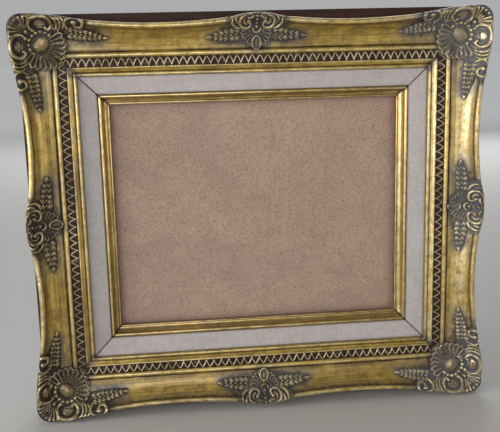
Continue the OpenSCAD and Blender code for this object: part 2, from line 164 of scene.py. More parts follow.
# ---------------------------------------------------------------- node helpers
class Nodes:
    def __init__(self, name):
        self.mat = bpy.data.materials.new(name)
        self.mat.use_nodes = True
        self.t = self.mat.node_tree
        self.t.nodes.clear()
        self.out = self.t.nodes.new("ShaderNodeOutputMaterial")
        self.bsdf = self.t.nodes.new("ShaderNodeBsdfPrincipled")
        self.t.links.new(self.bsdf.outputs[0], self.out.inputs[0])
        self.obj = None

    def n(self, kind, **inputs):
        node = self.t.nodes.new(kind)
        for k, v in inputs.items():
            if hasattr(node, k) and not isinstance(v, bpy.types.NodeSocket):
                setattr(node, k, v)
        return node

    def link(self, a, b):
        self.t.links.new(a, b)

    def coords(self):
        if self.obj is None:
            self.obj = self.n("ShaderNodeTexCoord").outputs["Object"]
        return self.obj

    def attr(self, name, vec=False):
        a = self.n("ShaderNodeAttribute")
        a.attribute_name = name
        return a.outputs["Vector"] if vec else a.outputs["Fac"]

    def mapped(self, vec, scale, rot=(0, 0, 0), loc=(0, 0, 0)):
        m = self.n("ShaderNodeMapping")
        self.link(vec, m.inputs["Vector"])
        m.inputs["Scale"].default_value = scale
        m.inputs["Rotation"].default_value = rot
        m.inputs["Location"].default_value = loc
        return m.outputs[0]

    def noise(self, vec, scale, detail=3.0, rough=0.55, distort=0.0, color=False):
        x = self.n("ShaderNodeTexNoise")
        self.link(vec, x.inputs["Vector"])
        x.inputs["Scale"].default_value = scale
        x.inputs["Detail"].default_value = detail
        x.inputs["Roughness"].default_value = rough
        x.inputs["Distortion"].default_value = distort
        return x.outputs["Color" if color else "Fac"]

    def voronoi(self, vec, scale, feature="F1", rand=1.0):
        x = self.n("ShaderNodeTexVoronoi")
        x.feature = feature
        self.link(vec, x.inputs["Vector"])
        x.inputs["Scale"].default_value = scale
        x.inputs["Randomness"].default_value = rand
        return x

    def math(self, op, a, b=None, c=None, clamp=False):
        x = self.n("ShaderNodeMath")
        x.operation = op
        x.use_clamp = clamp
        for k, v in enumerate((a, b, c)):
            if v is None:
                continue
            if isinstance(v, (int, float)):
                x.inputs[k].default_value = v
            else:
                self.link(v, x.inputs[k])
        return x.outputs[0]

    def remap(self, v, a, b, c=0.0, d=1.0, soft=False):
        x = self.n("ShaderNodeMapRange")
        x.interpolation_type = "SMOOTHSTEP" if soft else "LINEAR"
        x.clamp = True
        self.link(v, x.inputs["Value"])
        for k, q in (("From Min", a), ("From Max", b), ("To Min", c), ("To Max", d)):
            x.inputs[k].default_value = q
        return x.outputs[0]

    def ramp(self, v, stops):
        x = self.n("ShaderNodeValToRGB")
        r = x.color_ramp
        while len(r.elements) > 1:
            r.elements.remove(r.elements[0])
        r.elements[0].position = stops[0][0]
        r.elements[0].color = (*stops[0][1], 1)
        for p, c in stops[1:]:
            e = r.elements.new(p)
            e.color = (*c, 1)
        self.link(v, x.inputs[0])
        return x.outputs[0]

    def mix(self, f, a, b, mode="MIX"):
        x = self.n("ShaderNodeMix")
        x.data_type = "RGBA"
        x.blend_type = mode
        x.clamp_factor = True
        if isinstance(f, (int, float)):
            x.inputs[0].default_value = f
        else:
            self.link(f, x.inputs[0])
        for k, v in ((6, a), (7, b)):
            if isinstance(v, tuple):
                x.inputs[k].default_value = (*v, 1)
            else:
                self.link(v, x.inputs[k])
        return x.outputs[2]

    def bump(self, height, strength, dist, prev=None):
        x = self.n("ShaderNodeBump")
        x.inputs["Strength"].default_value = strength
        x.inputs["Distance"].default_value = dist
        self.link(height, x.inputs["Height"])
        if prev is not None:
            self.link(prev, x.inputs["Normal"])
        return x.outputs[0]

    def done(self, color, rough, normal=None, metallic=None, spec=None):
        s = self.bsdf.inputs
        self.link(color, s["Base Color"])
        if isinstance(rough, (int, float)):
            s["Roughness"].default_value = rough
        else:
            self.link(rough, s["Roughness"])
        if metallic is not None:
            if isinstance(metallic, (int, float)):
                s["Metallic"].default_value = metallic
            else:
                self.link(metallic, s["Metallic"])
        if spec is not None:
            s["Specular IOR Level"].default_value = spec
        if normal is not None:
            self.link(normal, s["Normal"])
        return self.mat


# ---------------------------------------------------------------- materials
def gold_material(name, light, mid, deep, grime_shade_col, wash_col, streak=1.0, base_rough=0.36, metal=0.85, grain=1.0, bole=0.0, pale=(0.80, 0.72, 0.50), grime_shade_gain=1.0, coat=0.35, halo=(0.030, 0.024, 0.022), spec=0.5, bole_col=(0.046, 0.018, 0.013), patina=0.0):
    """Rubbed antique gold. Mesh attributes: pc = (along, across, height) in mm, then the recess darkening (umber glaze
    with painted shade in the hollows), the worn edge (rubbed metal with a painted highlight), and wash = grey-blue
    toning."""
    g = Nodes(name)
    pc = g.attr("pc", True)
    ob = g.coords()
    grime_and_shade, wear_and_highlight, wash = g.attr("grime_and_shade"), g.attr("wear_and_highlight"), g.attr("wash")
    # long brush streaks along the moulding, and soft clouds
    s1 = g.noise(g.mapped(pc, (0.010, 0.62, 0.62)), 1.0, 4.0, 0.62)
    s2 = g.noise(g.mapped(pc, (0.05, 2.4, 2.4)), 1.0, 3.0, 0.6)
    cloud = g.noise(ob, 30.0, 5.0, 0.62)
    fine = g.noise(ob, 900.0, 3.0, 0.7)
    t = g.math("ADD", g.math("MULTIPLY", s1, 0.46 * streak), g.math("MULTIPLY", s2, 0.30 * streak))
    t = g.math("ADD", t, g.math("MULTIPLY", cloud, 1.0 - 0.76 * streak))
    col = g.ramp(g.remap(t, 0.40, 0.60), [(0.0, deep), (0.5, mid), (1.0, light)])
    mott = g.remap(g.noise(ob, 150.0, 4.0, 0.65), 0.45, 0.64, 0.0, 0.60 * streak, soft=True)
    col = g.mix(mott, col, (deep[0] * 0.9, deep[1] * 0.85, deep[2]))
    # umber glaze left in streaks and patches
    gl = g.noise(g.mapped(pc, (0.028, 0.85, 0.85), loc=(7, 3, 1)), 1.0, 5.0, 0.72)
    gl = g.remap(gl, 0.54, 0.72, 0.0, 0.75, soft=True)
    col = g.mix(g.math("MULTIPLY", gl, 0.3 + 0.5 * streak), col, (deep[0] * 0.5, deep[1] * 0.42, deep[2] * 0.6))
    patch = g.remap(g.noise(ob, 17.0, 4.0, 0.6), 0.53, 0.70, 0.0, 0.72, soft=True)
    col = g.mix(patch, col, (deep[0] * 0.72, deep[1] * 0.62, deep[2] * 0.7))
    drift = None
    if patina:
        sp = g.n("ShaderNodeSeparateXYZ")
        g.link(g.n("ShaderNodeNewGeometry").outputs["Position"], sp.inputs[0])
        drift = g.math("ADD", sp.outputs[0], g.remap(g.noise(ob, 26.0, 3.0), 0.3, 0.7, -0.09, 0.09))
        drift = g.remap(drift, -0.12, 0.20, 0.0, 1.0)
        col = g.mix(g.math("MULTIPLY", drift, patina), col, (0.200, 0.205, 0.215))
        col = g.mix(g.math("MULTIPLY", g.math("SUBTRACT", 1.0, drift), 0.34), col, (0.060, 0.040, 0.018))
    # worn, paler metal on the edges, with a painted highlight on the raised parts
    wear_highlight_f = g.math("MULTIPLY", wear_and_highlight, g.remap(g.noise(ob, 190.0, 4.0, 0.7), 0.40, 0.58, 0.1, 1.0), clamp=True)
    col = g.mix(g.math("MULTIPLY", wear_highlight_f, 0.7), col, pale)
    # grey-blue toning near the ornaments, turning to a dark painted shade right beside them; in the recesses umber
    # glaze with painted shade
    w = g.math("MULTIPLY", wash, g.remap(g.noise(ob, 105.0, 5.0, 0.7), 0.36, 0.58, 0.1, 1.1), clamp=True)
    col = g.mix(g.math("MULTIPLY", w, 0.9), col, g.mix(g.remap(w, 0.45, 0.95), wash_col, halo))
    cf = g.math("MULTIPLY", grime_and_shade, g.remap(g.noise(ob, 230.0, 4.0, 0.7), 0.3, 0.58, 0.7 * grime_shade_gain, 1.25 * grime_shade_gain), clamp=True)
    dcol = (grime_shade_col[0], grime_shade_col[1], grime_shade_col[2])
    if bole:
        k = g.remap(g.noise(ob, 60.0, 3.0), 0.42, 0.6, 0.0, bole)
        if drift is not None:
            k = g.math("MULTIPLY", drift, bole)
        col = g.mix(cf, col, g.mix(k, dcol, bole_col))
    else:
        col = g.mix(cf, col, dcol)
    # specks and small chips
    v = g.voronoi(ob, 230.0)
    near = g.math("LESS_THAN", v.outputs["Distance"], 0.15)
    pick = g.math("GREATER_THAN", g.math("FRACT", g.math("MULTIPLY", g.noise(v.outputs["Position"], 511.0, 0.0), 37.0)), 0.84)
    speck = g.math("MULTIPLY", g.math("MULTIPLY", near, pick), 0.7)
    col = g.mix(speck, col, (0.035, 0.018, 0.012))
    dull = g.math("MAXIMUM", g.math("MAXIMUM", g.math("MULTIPLY", cf, 0.9), g.math("MULTIPLY", w, 0.55)), speck)
    met = g.math("MULTIPLY", g.math("SUBTRACT", 1.0, dull), metal)
    rough = g.math("ADD", g.remap(s2, 0.3, 0.7, base_rough - 0.06, base_rough + 0.12), g.math("MULTIPLY", dull, 0.42))
    nrm = g.bump(s2, 0.10 * streak + 0.02, 0.0004)
    nrm = g.bump(g.noise(ob, 260.0, 4.0, 0.6), 0.2 * grain, 0.0003, nrm)
    nrm = g.bump(fine, 0.12 * grain, 0.0001, nrm)
    g.bsdf.inputs["Coat Weight"].default_value = coat
    g.bsdf.inputs["Coat Roughness"].default_value = 0.30
    g.bsdf.inputs["Coat IOR"].default_value = 1.5 + 0.3 * coat
    return g.done(col, rough, nrm, met, spec)


def linen_material():
    g = Nodes("linen_weave")
    pc = g.attr("pc", True)
    ob = g.coords()
    sep = g.n("ShaderNodeSeparateXYZ")
    wob = g.noise(g.mapped(pc, (0.35, 0.35, 0.35)), 1.0, 2.0, 0.5, color=True)
    add = g.n("ShaderNodeVectorMath")
    add.operation = "MULTIPLY_ADD"
    g.link(wob, add.inputs[0])
    add.inputs[1].default_value = (0.32, 0.32, 0.0)
    g.link(pc, add.inputs[2])
    g.link(add.outputs[0], sep.inputs[0])
    p = 0.72
    u = g.math("MULTIPLY", sep.outputs[0], math.pi / p)
    v = g.math("MULTIPLY", sep.outputs[1], math.pi / p)
    su, sv = g.math("SINE", u), g.math("SINE", v)
    au, av = g.math("ABSOLUTE", su), g.math("ABSOLUTE", sv)
    over = g.math("GREATER_THAN", g.math("MULTIPLY", su, sv), 0.0)
    warp_n = g.noise(g.mapped(pc, (1.4, 0.10, 0.03)), 1.0, 3.0, 0.65)
    weft_n = g.noise(g.mapped(pc, (0.10, 1.4, 0.03)), 1.0, 3.0, 0.65)
    hi = g.math("MULTIPLY", au, g.remap(warp_n, 0.3, 0.7, 0.75, 1.15))
    hj = g.math("MULTIPLY", av, g.remap(weft_n, 0.3, 0.7, 0.75, 1.15))
    h = g.math("ADD", g.math("MULTIPLY", over, hi), g.math("MULTIPLY", g.math("SUBTRACT", 1.0, over), hj))
    base = g.mix(g.remap(g.noise(ob, 26.0, 4.0, 0.6), 0.38, 0.64), (0.535, 0.498, 0.492), (0.46, 0.423, 0.415))
    threads = g.math("ADD", g.math("MULTIPLY", g.remap(warp_n, 0.32, 0.68), 0.5), g.math("MULTIPLY", g.remap(weft_n, 0.32, 0.68), 0.5))
    base = g.mix(g.remap(threads, 0.3, 0.8, 0.0, 0.62), base, (0.64, 0.61, 0.60))
    base = g.mix(g.remap(g.noise(ob, 800.0, 3.0, 0.75), 0.48, 0.62, 0.0, 0.42), base, (0.27, 0.24, 0.225))
    # painted shade between the threads of the weave
    base = g.mix(g.remap(h, 0.15, 0.75, 0.62, 0.0), base, (0.30, 0.265, 0.235))
    slub = g.remap(g.noise(g.mapped(pc, (2.2, 0.09, 0.1), loc=(3, 1, 0)), 1.0, 2.0), 0.66, 0.72, 0.0, 0.45, soft=True)
    base = g.mix(slub, base, (0.33, 0.27, 0.2))
    stain = g.remap(g.noise(ob, 15.0, 2.0, 0.4), 0.66, 0.8, 0.0, 0.35, soft=True)
    base = g.mix(stain, base, (0.36, 0.27, 0.18))
    # dust and painted shade along the linen's creases and mitres
    base = g.mix(g.math("MULTIPLY", g.attr("grime_and_shade"), 0.75), base, (0.09, 0.06, 0.04))
    nrm = g.bump(h, 0.55, 0.00022)
    nrm = g.bump(g.noise(ob, 2600.0, 2.0), 0.3, 0.00006, nrm)
    g.bsdf.inputs["Sheen Weight"].default_value = 0.25
    g.bsdf.inputs["Sheen Roughness"].default_value = 0.5
    return g.done(base, 0.88, nrm, 0.0, 0.25)


def hardboard_material():
    g = Nodes("hardboard")
    ob = g.coords()
    big = g.noise(ob, 11.0, 3.0, 0.5)
    midn = g.noise(ob, 55.0, 4.0, 0.6)
    fib_a = g.noise(g.mapped(ob, (420, 420, 1500), rot=(0, 0.5, 0)), 1.0, 4.0, 0.75, 1.2)
    fib_b = g.noise(g.mapped(ob, (1500, 420, 420), rot=(0, 0.35, 0)), 1.0, 4.0, 0.75, 1.2)
    col = g.mix(g.remap(big, 0.38, 0.62), (0.420, 0.286, 0.218), (0.455, 0.315, 0.244))
    col = g.mix(g.remap(midn, 0.44, 0.62, 0.0, 0.3), col, (0.30, 0.215, 0.162))
    f = g.math("MAXIMUM", g.remap(fib_a, 0.50, 0.64), g.remap(fib_b, 0.50, 0.64))
    col = g.mix(g.math("MULTIPLY", f, 0.5), col, (0.205, 0.125, 0.085))
    l = g.remap(g.noise(ob, 760.0, 3.0, 0.7), 0.36, 0.52, 1.0, 0.0)
    col = g.mix(g.math("MULTIPLY", l, 0.62), col, (0.185, 0.112, 0.078))
    l = g.remap(g.noise(g.mapped(ob, (1, 1, 1), loc=(3, 1, 2)), 520.0, 3.0, 0.7), 0.54, 0.66)
    col = g.mix(g.math("MULTIPLY", l, 0.22), col, (0.60, 0.45, 0.36))
    # dark specks and short splinters
    for sc, lim, frac, dark, st in ((90.0, 0.085, 0.62, 0.85, (1, 1, 2.2)), (210.0, 0.14, 0.70, 0.7, (1.8, 1, 1)), (400.0, 0.2, 0.7, 0.55, (1, 1, 1.5))):
        v = g.voronoi(g.mapped(ob, st, rot=(0, 0.4 * sc / 95, 0)), sc)
        near = g.remap(v.outputs["Distance"], lim * 0.6, lim, 1.0, 0.0)
        pick = g.math("GREATER_THAN", g.math("FRACT", g.math("MULTIPLY", g.noise(v.outputs["Position"], 733.0, 0.0), 41.0)), frac)
        col = g.mix(g.math("MULTIPLY", g.math("MULTIPLY", near, pick), dark), col, (0.060, 0.032, 0.022))
    # faint old damp marks
    st = g.noise(g.mapped(ob, (4.0, 4.0, 10.0), loc=(0.3, 0, 0.1)), 1.0, 5.0, 0.6, 0.6)
    band = g.math("MULTIPLY", g.remap(st, 0.5, 0.55, 0.0, 1.0, soft=True), g.remap(st, 0.56, 0.64, 1.0, 0.0, soft=True))
    col = g.mix(g.math("MULTIPLY", band, 0.22), col, (0.22, 0.185, 0.145))
    col = g.mix(g.math("MULTIPLY", g.attr("edge"), 0.6), col, (0.13, 0.070, 0.045))
    nrm = g.bump(f, 0.08, 0.0002)
    nrm = g.bump(g.noise(ob, 1400.0, 3.0, 0.7), 0.25, 0.00008, nrm)
    return g.done(col, g.remap(midn, 0.3, 0.7, 0.55, 0.72), nrm, 0.0, 0.35)


def wood_material(name, light, dark, scale=1.0, rough=0.55, axis="x", worn=None, mitre=False, spec=0.4):
    g = Nodes(name)
    ob = g.coords()
    s = {"x": (6, 130, 130), "z": (130, 130, 6)}[axis]
    s = tuple(q * scale for q in s)
    g1 = g.noise(g.mapped(ob, s), 1.0, 5.0, 0.62, 0.5)
    g2 = g.noise(g.mapped(ob, tuple(q * 5 for q in s)), 1.0, 3.0, 0.6)
    col = g.mix(g.remap(g1, 0.34, 0.66), dark, light)
    col = g.mix(g.remap(g2, 0.5, 0.75, 0.0, 0.5), col, tuple(q * 0.55 for q in dark))
    if worn:
        k = g.remap(g.noise(ob, 60.0, 4.0, 0.6), 0.56, 0.74, 0.0, 0.5, soft=True)
        col = g.mix(k, col, worn)
    if mitre:
        # shadow and old glue in the corner joints
        sp = g.n("ShaderNodeSeparateXYZ")
        g.link(g.n("ShaderNodeNewGeometry").outputs["Position"], sp.inputs[0])
        d = g.math("SUBTRACT", g.math("SUBTRACT", g.math("ABSOLUTE", sp.outputs[0], 0.0), g.math("ABSOLUTE", sp.outputs[2], 0.0)), (SW - SH) * 0.001)
        col = g.mix(g.remap(g.math("ABSOLUTE", d, 0.0), 0.0012, 0.0030, 1.0, 0.0), col, (0.012, 0.008, 0.006))
    nrm = g.bump(g1, 0.18, 0.0004)
    nrm = g.bump(g2, 0.22, 0.00015, nrm)
    return g.done(col, g.remap(g2, 0.3, 0.7, rough - 0.08, rough + 0.12), nrm, 0.0, spec)


def metal_material(name, col, dark, rough=0.32, spots=None):
    g = Nodes(name)
    ob = g.coords()
    n1 = g.noise(ob, 180.0, 4.0, 0.6)
    n2 = g.noise(g.mapped(ob, (900, 250, 250)), 1.0, 3.0, 0.6)
    c = g.mix(g.remap(n1, 0.38, 0.66), col, dark)
    dull = g.remap(g.noise(ob, 420.0, 4.0, 0.7), 0.6, 0.75, 0.0, 0.6, soft=True)
    c = g.mix(dull, c, spots or tuple(q * 0.4 for q in dark))
    nrm = g.bump(n2, 0.12, 0.0001)
    nrm = g.bump(g.noise(ob, 700.0, 3.0), 0.12, 0.0001, nrm)
    return g.done(c, g.remap(n2, 0.3, 0.7, rough - 0.05, rough + 0.14), nrm, g.math("SUBTRACT", 0.95, g.math("MULTIPLY", dull, 0.5)))


def felt_material():
    g = Nodes("felt_pad")
    ob = g.coords()
    n1 = g.noise(ob, 1500.0, 4.0, 0.75, 1.0)
    c = g.mix(g.remap(n1, 0.35, 0.65), (0.02, 0.02, 0.022), (0.075, 0.073, 0.075))
    nrm = g.bump(n1, 0.9, 0.0004)
    g.bsdf.inputs["Sheen Weight"].default_value = 0.4
    return g.done(c, 0.95, nrm, 0.0, 0.2)


GOLD_RAIL = gold_material("antique_gold_rail", (0.74, 0.535, 0.125), (0.54, 0.365, 0.060), (0.23, 0.130, 0.020), (0.024, 0.014, 0.005), (0.120, 0.122, 0.128), metal=0.62, base_rough=0.32, coat=0.55, pale=(0.86, 0.76, 0.50))
GOLD_CAST = gold_material("antique_gold_cast", (0.52, 0.365, 0.115), (0.30, 0.195, 0.058), (0.14, 0.085, 0.028), (0.014, 0.009, 0.006), (0.075, 0.074, 0.078), streak=0.2, base_rough=0.31, metal=0.66, grain=1.6, pale=(0.80, 0.69, 0.45), grime_shade_gain=1.0, coat=0.3, spec=0.35, bole=1.0, bole_col=(0.078, 0.083, 0.092), patina=0.42)
GOLD_TONGUE = gold_material("antique_gold_tongue", (0.66, 0.56, 0.36), (0.48, 0.39, 0.22), (0.27, 0.20, 0.10), (0.030, 0.017, 0.012), (0.060, 0.058, 0.058), streak=0.15, base_rough=0.32, metal=0.7, grain=1.2, bole=0.8, pale=(0.86, 0.81, 0.66), coat=0.08, spec=0.22)
GOLD_SLIP = gold_material("bright_gold_slip", (0.80, 0.58, 0.165), (0.58, 0.385, 0.075), (0.31, 0.180, 0.026), (0.034, 0.017, 0.009), (0.3, 0.28, 0.24), streak=1.0, base_rough=0.25, metal=0.85, grain=0.5, pale=(0.85, 0.72, 0.40), coat=0.9)
LINEN = linen_material()
BOARD = hardboard_material()
DARK_X = wood_material("dark_stained_wood", (0.062, 0.028, 0.019), (0.026, 0.012, 0.009), 1.0, 0.5, "x", worn=(0.095, 0.045, 0.032), spec=0.14)
DARK_Z = wood_material("dark_stained_wood_upright", (0.062, 0.028, 0.019), (0.026, 0.012, 0.009), 1.0, 0.5, "z", worn=(0.095, 0.045, 0.032), spec=0.14)
RAW_X = wood_material("raw_liner_wood", (0.60, 0.44, 0.28), (0.45, 0.31, 0.18), 1.0, 0.7, "x", mitre=True)
RAW_Z = wood_material("raw_liner_wood_upright", (0.60, 0.44, 0.28), (0.45, 0.31, 0.18), 1.0, 0.7, "z", mitre=True)
STEEL = metal_material("bright_steel", (0.62, 0.62, 0.60), (0.45, 0.45, 0.44), 0.3)
ZINC = metal_material("zinc_steel", (0.55, 0.55, 0.54), (0.38, 0.38, 0.38), 0.36)
BRASS = metal_material("brass_plated", (0.70, 0.52, 0.25), (0.55, 0.38, 0.16), 0.3)
FELT = felt_material()


# ---------------------------------------------------------------- the swept outline
def _outline(i):
    hl = half(i)
    lo = hl + M
    xs = np.arange(0, lo + 0.25, 0.5)
    c0, c1 = 22.0, lo - 60.0
    mid, hw = (c0 + c1) / 2, (c1 - c0) / 2
    px = [0, 5, 9, 15]
    pm = [69.8, 69.7, 69.3, 68.0]
    for t in np.linspace(-1, 1, 21):
        px.append(mid + hw * t)
        pm.append(63.5 + 3.0 * t * t)
    px += [lo - 45, lo - 34, lo - 24, lo - 14, lo]
    pm += [68.9, 70.9, 72.1, 72.4, 72.4]
    m = np.interp(xs, px, pm)
    k = np.exp(-0.5 * (np.arange(-12, 13) / 4.5) ** 2)
    k /= k.sum()
    mp = np.concatenate([m[12:0:-1], m, np.full(12, m[-1])])
    m = np.convolve(mp, k, "valid")
    d = xs - (lo - CORNER_R)
    rnd = M - CORNER_R + np.sqrt(np.clip(CORNER_R**2 - np.clip(d, 0, CORNER_R) ** 2, 0, None))
    m = np.where(d > 0, np.minimum(m, rnd), m)
    return xs, m


OUTLINE = [_outline(i) for i in range(4)]


def outer_margin(i, x):
    xs, m = OUTLINE[i]
    return np.interp(np.abs(x), xs, m)


# ---------------------------------------------------------------- the moulding's section
def arc(cx, cy, r, a0, a1, n):
    a = np.radians(np.linspace(a0, a1, n))
    return list(zip(cx + r * np.cos(a), cy + r * np.sin(a)))


INNER = (
    [(E + 0.05, B + 0.0), (E + 0.0, B + 1.2), (E + 0.0, B + 2.1)]
    + arc(E + 1.5, B + 2.25, 1.5, 172, 12, 9)
    + [(E + 3.1, B + 2.15), (E + 3.25, B + 2.25), (E + 3.5, B + 2.95), (E + 3.95, B + 3.3), (E + 4.6, B + 3.55), (E + 5.3, B + 3.95)]
    + [(E + 5.9, B + 4.5), (E + 6.4, B + 4.9), (E + 6.9, B + 5.05), (E + 7.2, B + 4.9), (E + 7.4, B + 4.5), (E + 7.5, B + 3.35)]
    + [(E + 9.5, B + 3.2), (E + 12.5, B + 3.2), (E + 14.35, B + 3.3), (E + 14.5, B + 4.1)]
    + arc(E + 16.7, B + 4.15, 2.1, 172, 8, 11)
    + [(E + 18.9, B + 3.7), (E + 19.15, B + 3.45), (E + 19.4, B + 3.9), (E + 19.7, B + 4.75), (E + 20.3, B + 5.0)]
)
INNER_M = np.array([p[0] for p in INNER])
INNER_H = np.array([p[1] for p in INNER])
COVE_M0, COVE_H0, RIM_H = E + 20.3, B + 5.0, B + 16.2
N_COVE, N_RIM = 26, 13
RIM_W = 4.5


def cove_h(t):
    t = np.clip(t, 0, 1)
    k = math.sin(math.radians(74))
    c = (1 - np.sqrt(1 - (t * k) ** 2)) / (1 - math.cos(math.radians(74)))
    return COVE_H0 + (RIM_H - COVE_H0) * (0.14 * t + 0.86 * c)


def surf(mo, m, drop=True):
    """Height of the moulding's front at margin m where the outer edge is at margin mo."""
    mi = mo - RIM_W
    h = np.interp(m, INNER_M[2:], INNER_H[2:])
    t = (m - COVE_M0) / (mi - COVE_M0)
    h = np.where(m > COVE_M0, cove_h(t), h)
    q = (m - (mi + RIM_W / 2)) / (RIM_W / 2)
    rim = RIM_H - 0.15 + 2.25 * np.sqrt(np.clip(1 - np.clip(q, -1, 1) ** 2, 0, 1))
    return np.where(m > mi, rim, h)


# ---------------------------------------------------------------- relief for cast ornament
class Relief:
    """Height above the ground, on a grid; strokes and domes are combined by the highest."""

    def __init__(self, x0, x1, y0, y1, step):
        self.x = np.arange(x0, x1 + step / 2, step)
        self.y = np.arange(y0, y1 + step / 2, step)
        self.X, self.Y = np.meshgrid(self.x, self.y, indexing="ij")
        self.H = np.full(self.X.shape, -1.0)
        # darkness set per area (low bed, dished middles, sprays, boss), added to the recess darkening: partly the
        # ornament's dark toning, partly painted shade
        self.D = np.zeros(self.X.shape)
        self.dark = 0.0
        self.step = step

    def _win(self, x0, x1, y0, y1):
        a, b = np.searchsorted(self.x, [x0, x1])
        c, d = np.searchsorted(self.y, [y0, y1])
        return slice(max(a - 1, 0), b + 1), slice(max(c - 1, 0), d + 1)

    def put(self, win, h):
        self.D[win] = np.where(h > self.H[win], self.dark, self.D[win])
        self.H[win] = np.maximum(self.H[win], h)

    def stroke(self, pts, r, h, power=0.5, base=0.0):
        pts = np.asarray(pts, float)
        n = len(pts)
        r = np.interp(np.linspace(0, 1, n), np.linspace(0, 1, len(np.atleast_1d(r))), np.atleast_1d(r))
        h = np.interp(np.linspace(0, 1, n), np.linspace(0, 1, len(np.atleast_1d(h))), np.atleast_1d(h))
        for k in range(n - 1):
            p, q = pts[k], pts[k + 1]
            R = max(r[k], r[k + 1])
            w = self._win(min(p[0], q[0]) - R, max(p[0], q[0]) + R, min(p[1], q[1]) - R, max(p[1], q[1]) + R)
            X, Y = self.X[w], self.Y[w]
            if X.size == 0:
                continue
            d = q - p
            t = np.clip(((X - p[0]) * d[0] + (Y - p[1]) * d[1]) / max(d @ d, 1e-9), 0, 1)
            dist = np.hypot(X - p[0] - t * d[0], Y - p[1] - t * d[1])
            rr = r[k] + t * (r[k + 1] - r[k])
            hh = h[k] + t * (h[k + 1] - h[k])
            v = np.clip(1 - (dist / rr) ** 2, 0, 1) ** power * hh + base
            self.put(w, np.where(dist < rr, v, -1))

    def dome(self, cx, cy, rx, ry, h, ang=0.0, power=0.5, base=0.0, dish=0.0):
        R = max(rx, ry)
        w = self._win(cx - R, cx + R, cy - R, cy + R)
        X, Y = self.X[w] - cx, self.Y[w] - cy
        c, s = math.cos(math.radians(ang)), math.sin(math.radians(ang))
        u, v = (X * c + Y * s) / rx, (-X * s + Y * c) / ry
        q = u * u + v * v
        z = np.clip(1 - q, 0, 1) ** power * h * (1 - dish * np.clip(1 - q * 2.2, 0, 1)) + base
        self.put(w, np.where(q < 1, z, -1))

    def cut(self, pts, r, depth):
        pts = np.asarray(pts, float)
        for k in range(len(pts) - 1):
            p, q = pts[k], pts[k + 1]
            R = 2.2 * r
            w = self._win(min(p[0], q[0]) - R, max(p[0], q[0]) + R, min(p[1], q[1]) - R, max(p[1], q[1]) + R)
            X, Y = self.X[w], self.Y[w]
            if X.size == 0:
                continue
            d = q - p
            t = np.clip(((X - p[0]) * d[0] + (Y - p[1]) * d[1]) / max(d @ d, 1e-9), 0, 1)
            dist = np.hypot(X - p[0] - t * d[0], Y - p[1] - t * d[1])
            low = np.maximum(self.H[w] - depth * np.exp(-((dist / r) ** 2)), 0.25)
            self.H[w] = np.where(self.H[w] > 0.3, np.minimum(self.H[w], np.maximum(low, 0.25)), self.H[w])

    def fan(self, cx, cy, dirang, span, n, r0, r1, h0, h1, side_r=None, loops=True):
        """Petals round a centre: each is a raised loop round a dished middle, or a plain ridge."""
        X, Y = self.X - cx, self.Y - cy
        rho = np.hypot(X, Y)
        th = (np.degrees(np.arctan2(Y, X)) - dirang + 180) % 360 - 180
        phi = (th + span) / (2 * span) * n
        f = phi - np.floor(phi) - 0.5
        k = np.abs(th) / span
        rr = r1 if side_r is None else r1 + (side_r - r1) * smooth((k - 0.35) / 0.65)
        wob = 1 + 0.035 * np.sin(5.3 * np.floor(phi) + 1.7)
        rl = rr * wob * (1 - 0.045 * (2 * f) ** 2)
        t = (rho - r0) / (rl - r0)
        if loops:
            q = np.sqrt((f / 0.455) ** 2 + (np.clip(t - 0.76, 0, 1) / 0.19) ** 2)
            line = np.exp(-(((q - 1) / 0.19) ** 2))
            line = np.where(q > 1, line * (np.abs(f) < 0.47), line)
            prof = 0.16 + (0.40 - 0.16) * (q < 1)
            prof = np.maximum(prof, line)
            dk = np.clip(1.05 - 1.5 * line, 0, 1) * (0.62 - 0.22 * smooth((t - 0.55) / 0.3) * (q < 1))
        else:
            prof = 0.12 + 0.88 * np.sqrt(np.clip(1 - (f / 0.36) ** 2, 0, 1))
            dk = np.clip(1 - 1.6 * prof, 0, 1)
        z = (h0 + (h1 - h0) * np.clip(t, 0, 1)) * prof * np.sqrt(np.clip((1 - t) / 0.06, 0, 1))
        z = np.where((np.abs(th) <= span) & (t > 0) & (t < 1), z, -1)
        self.D = np.where(z > self.H, dk, self.D)
        self.H = np.maximum(self.H, z)


def curve(ctrl, n=40):
    """Catmull-Rom through the control points."""
    c = np.asarray(ctrl, float)
    c = np.vstack([2 * c[0] - c[1], c, 2 * c[-1] - c[-2]])
    out = []
    seg = len(c) - 3
    per = max(3, n // seg)
    for k in range(seg):
        p0, p1, p2, p3 = c[k : k + 4]
        for t in np.linspace(0, 1, per, endpoint=False):
            out.append(0.5 * ((2 * p1) + (-p0 + p2) * t + (2 * p0 - 5 * p1 + 4 * p2 - p3) * t * t + (-p0 + 3 * p1 - 3 * p2 + p3) * t**3))
    out.append(c[-2])
    return np.array(out)


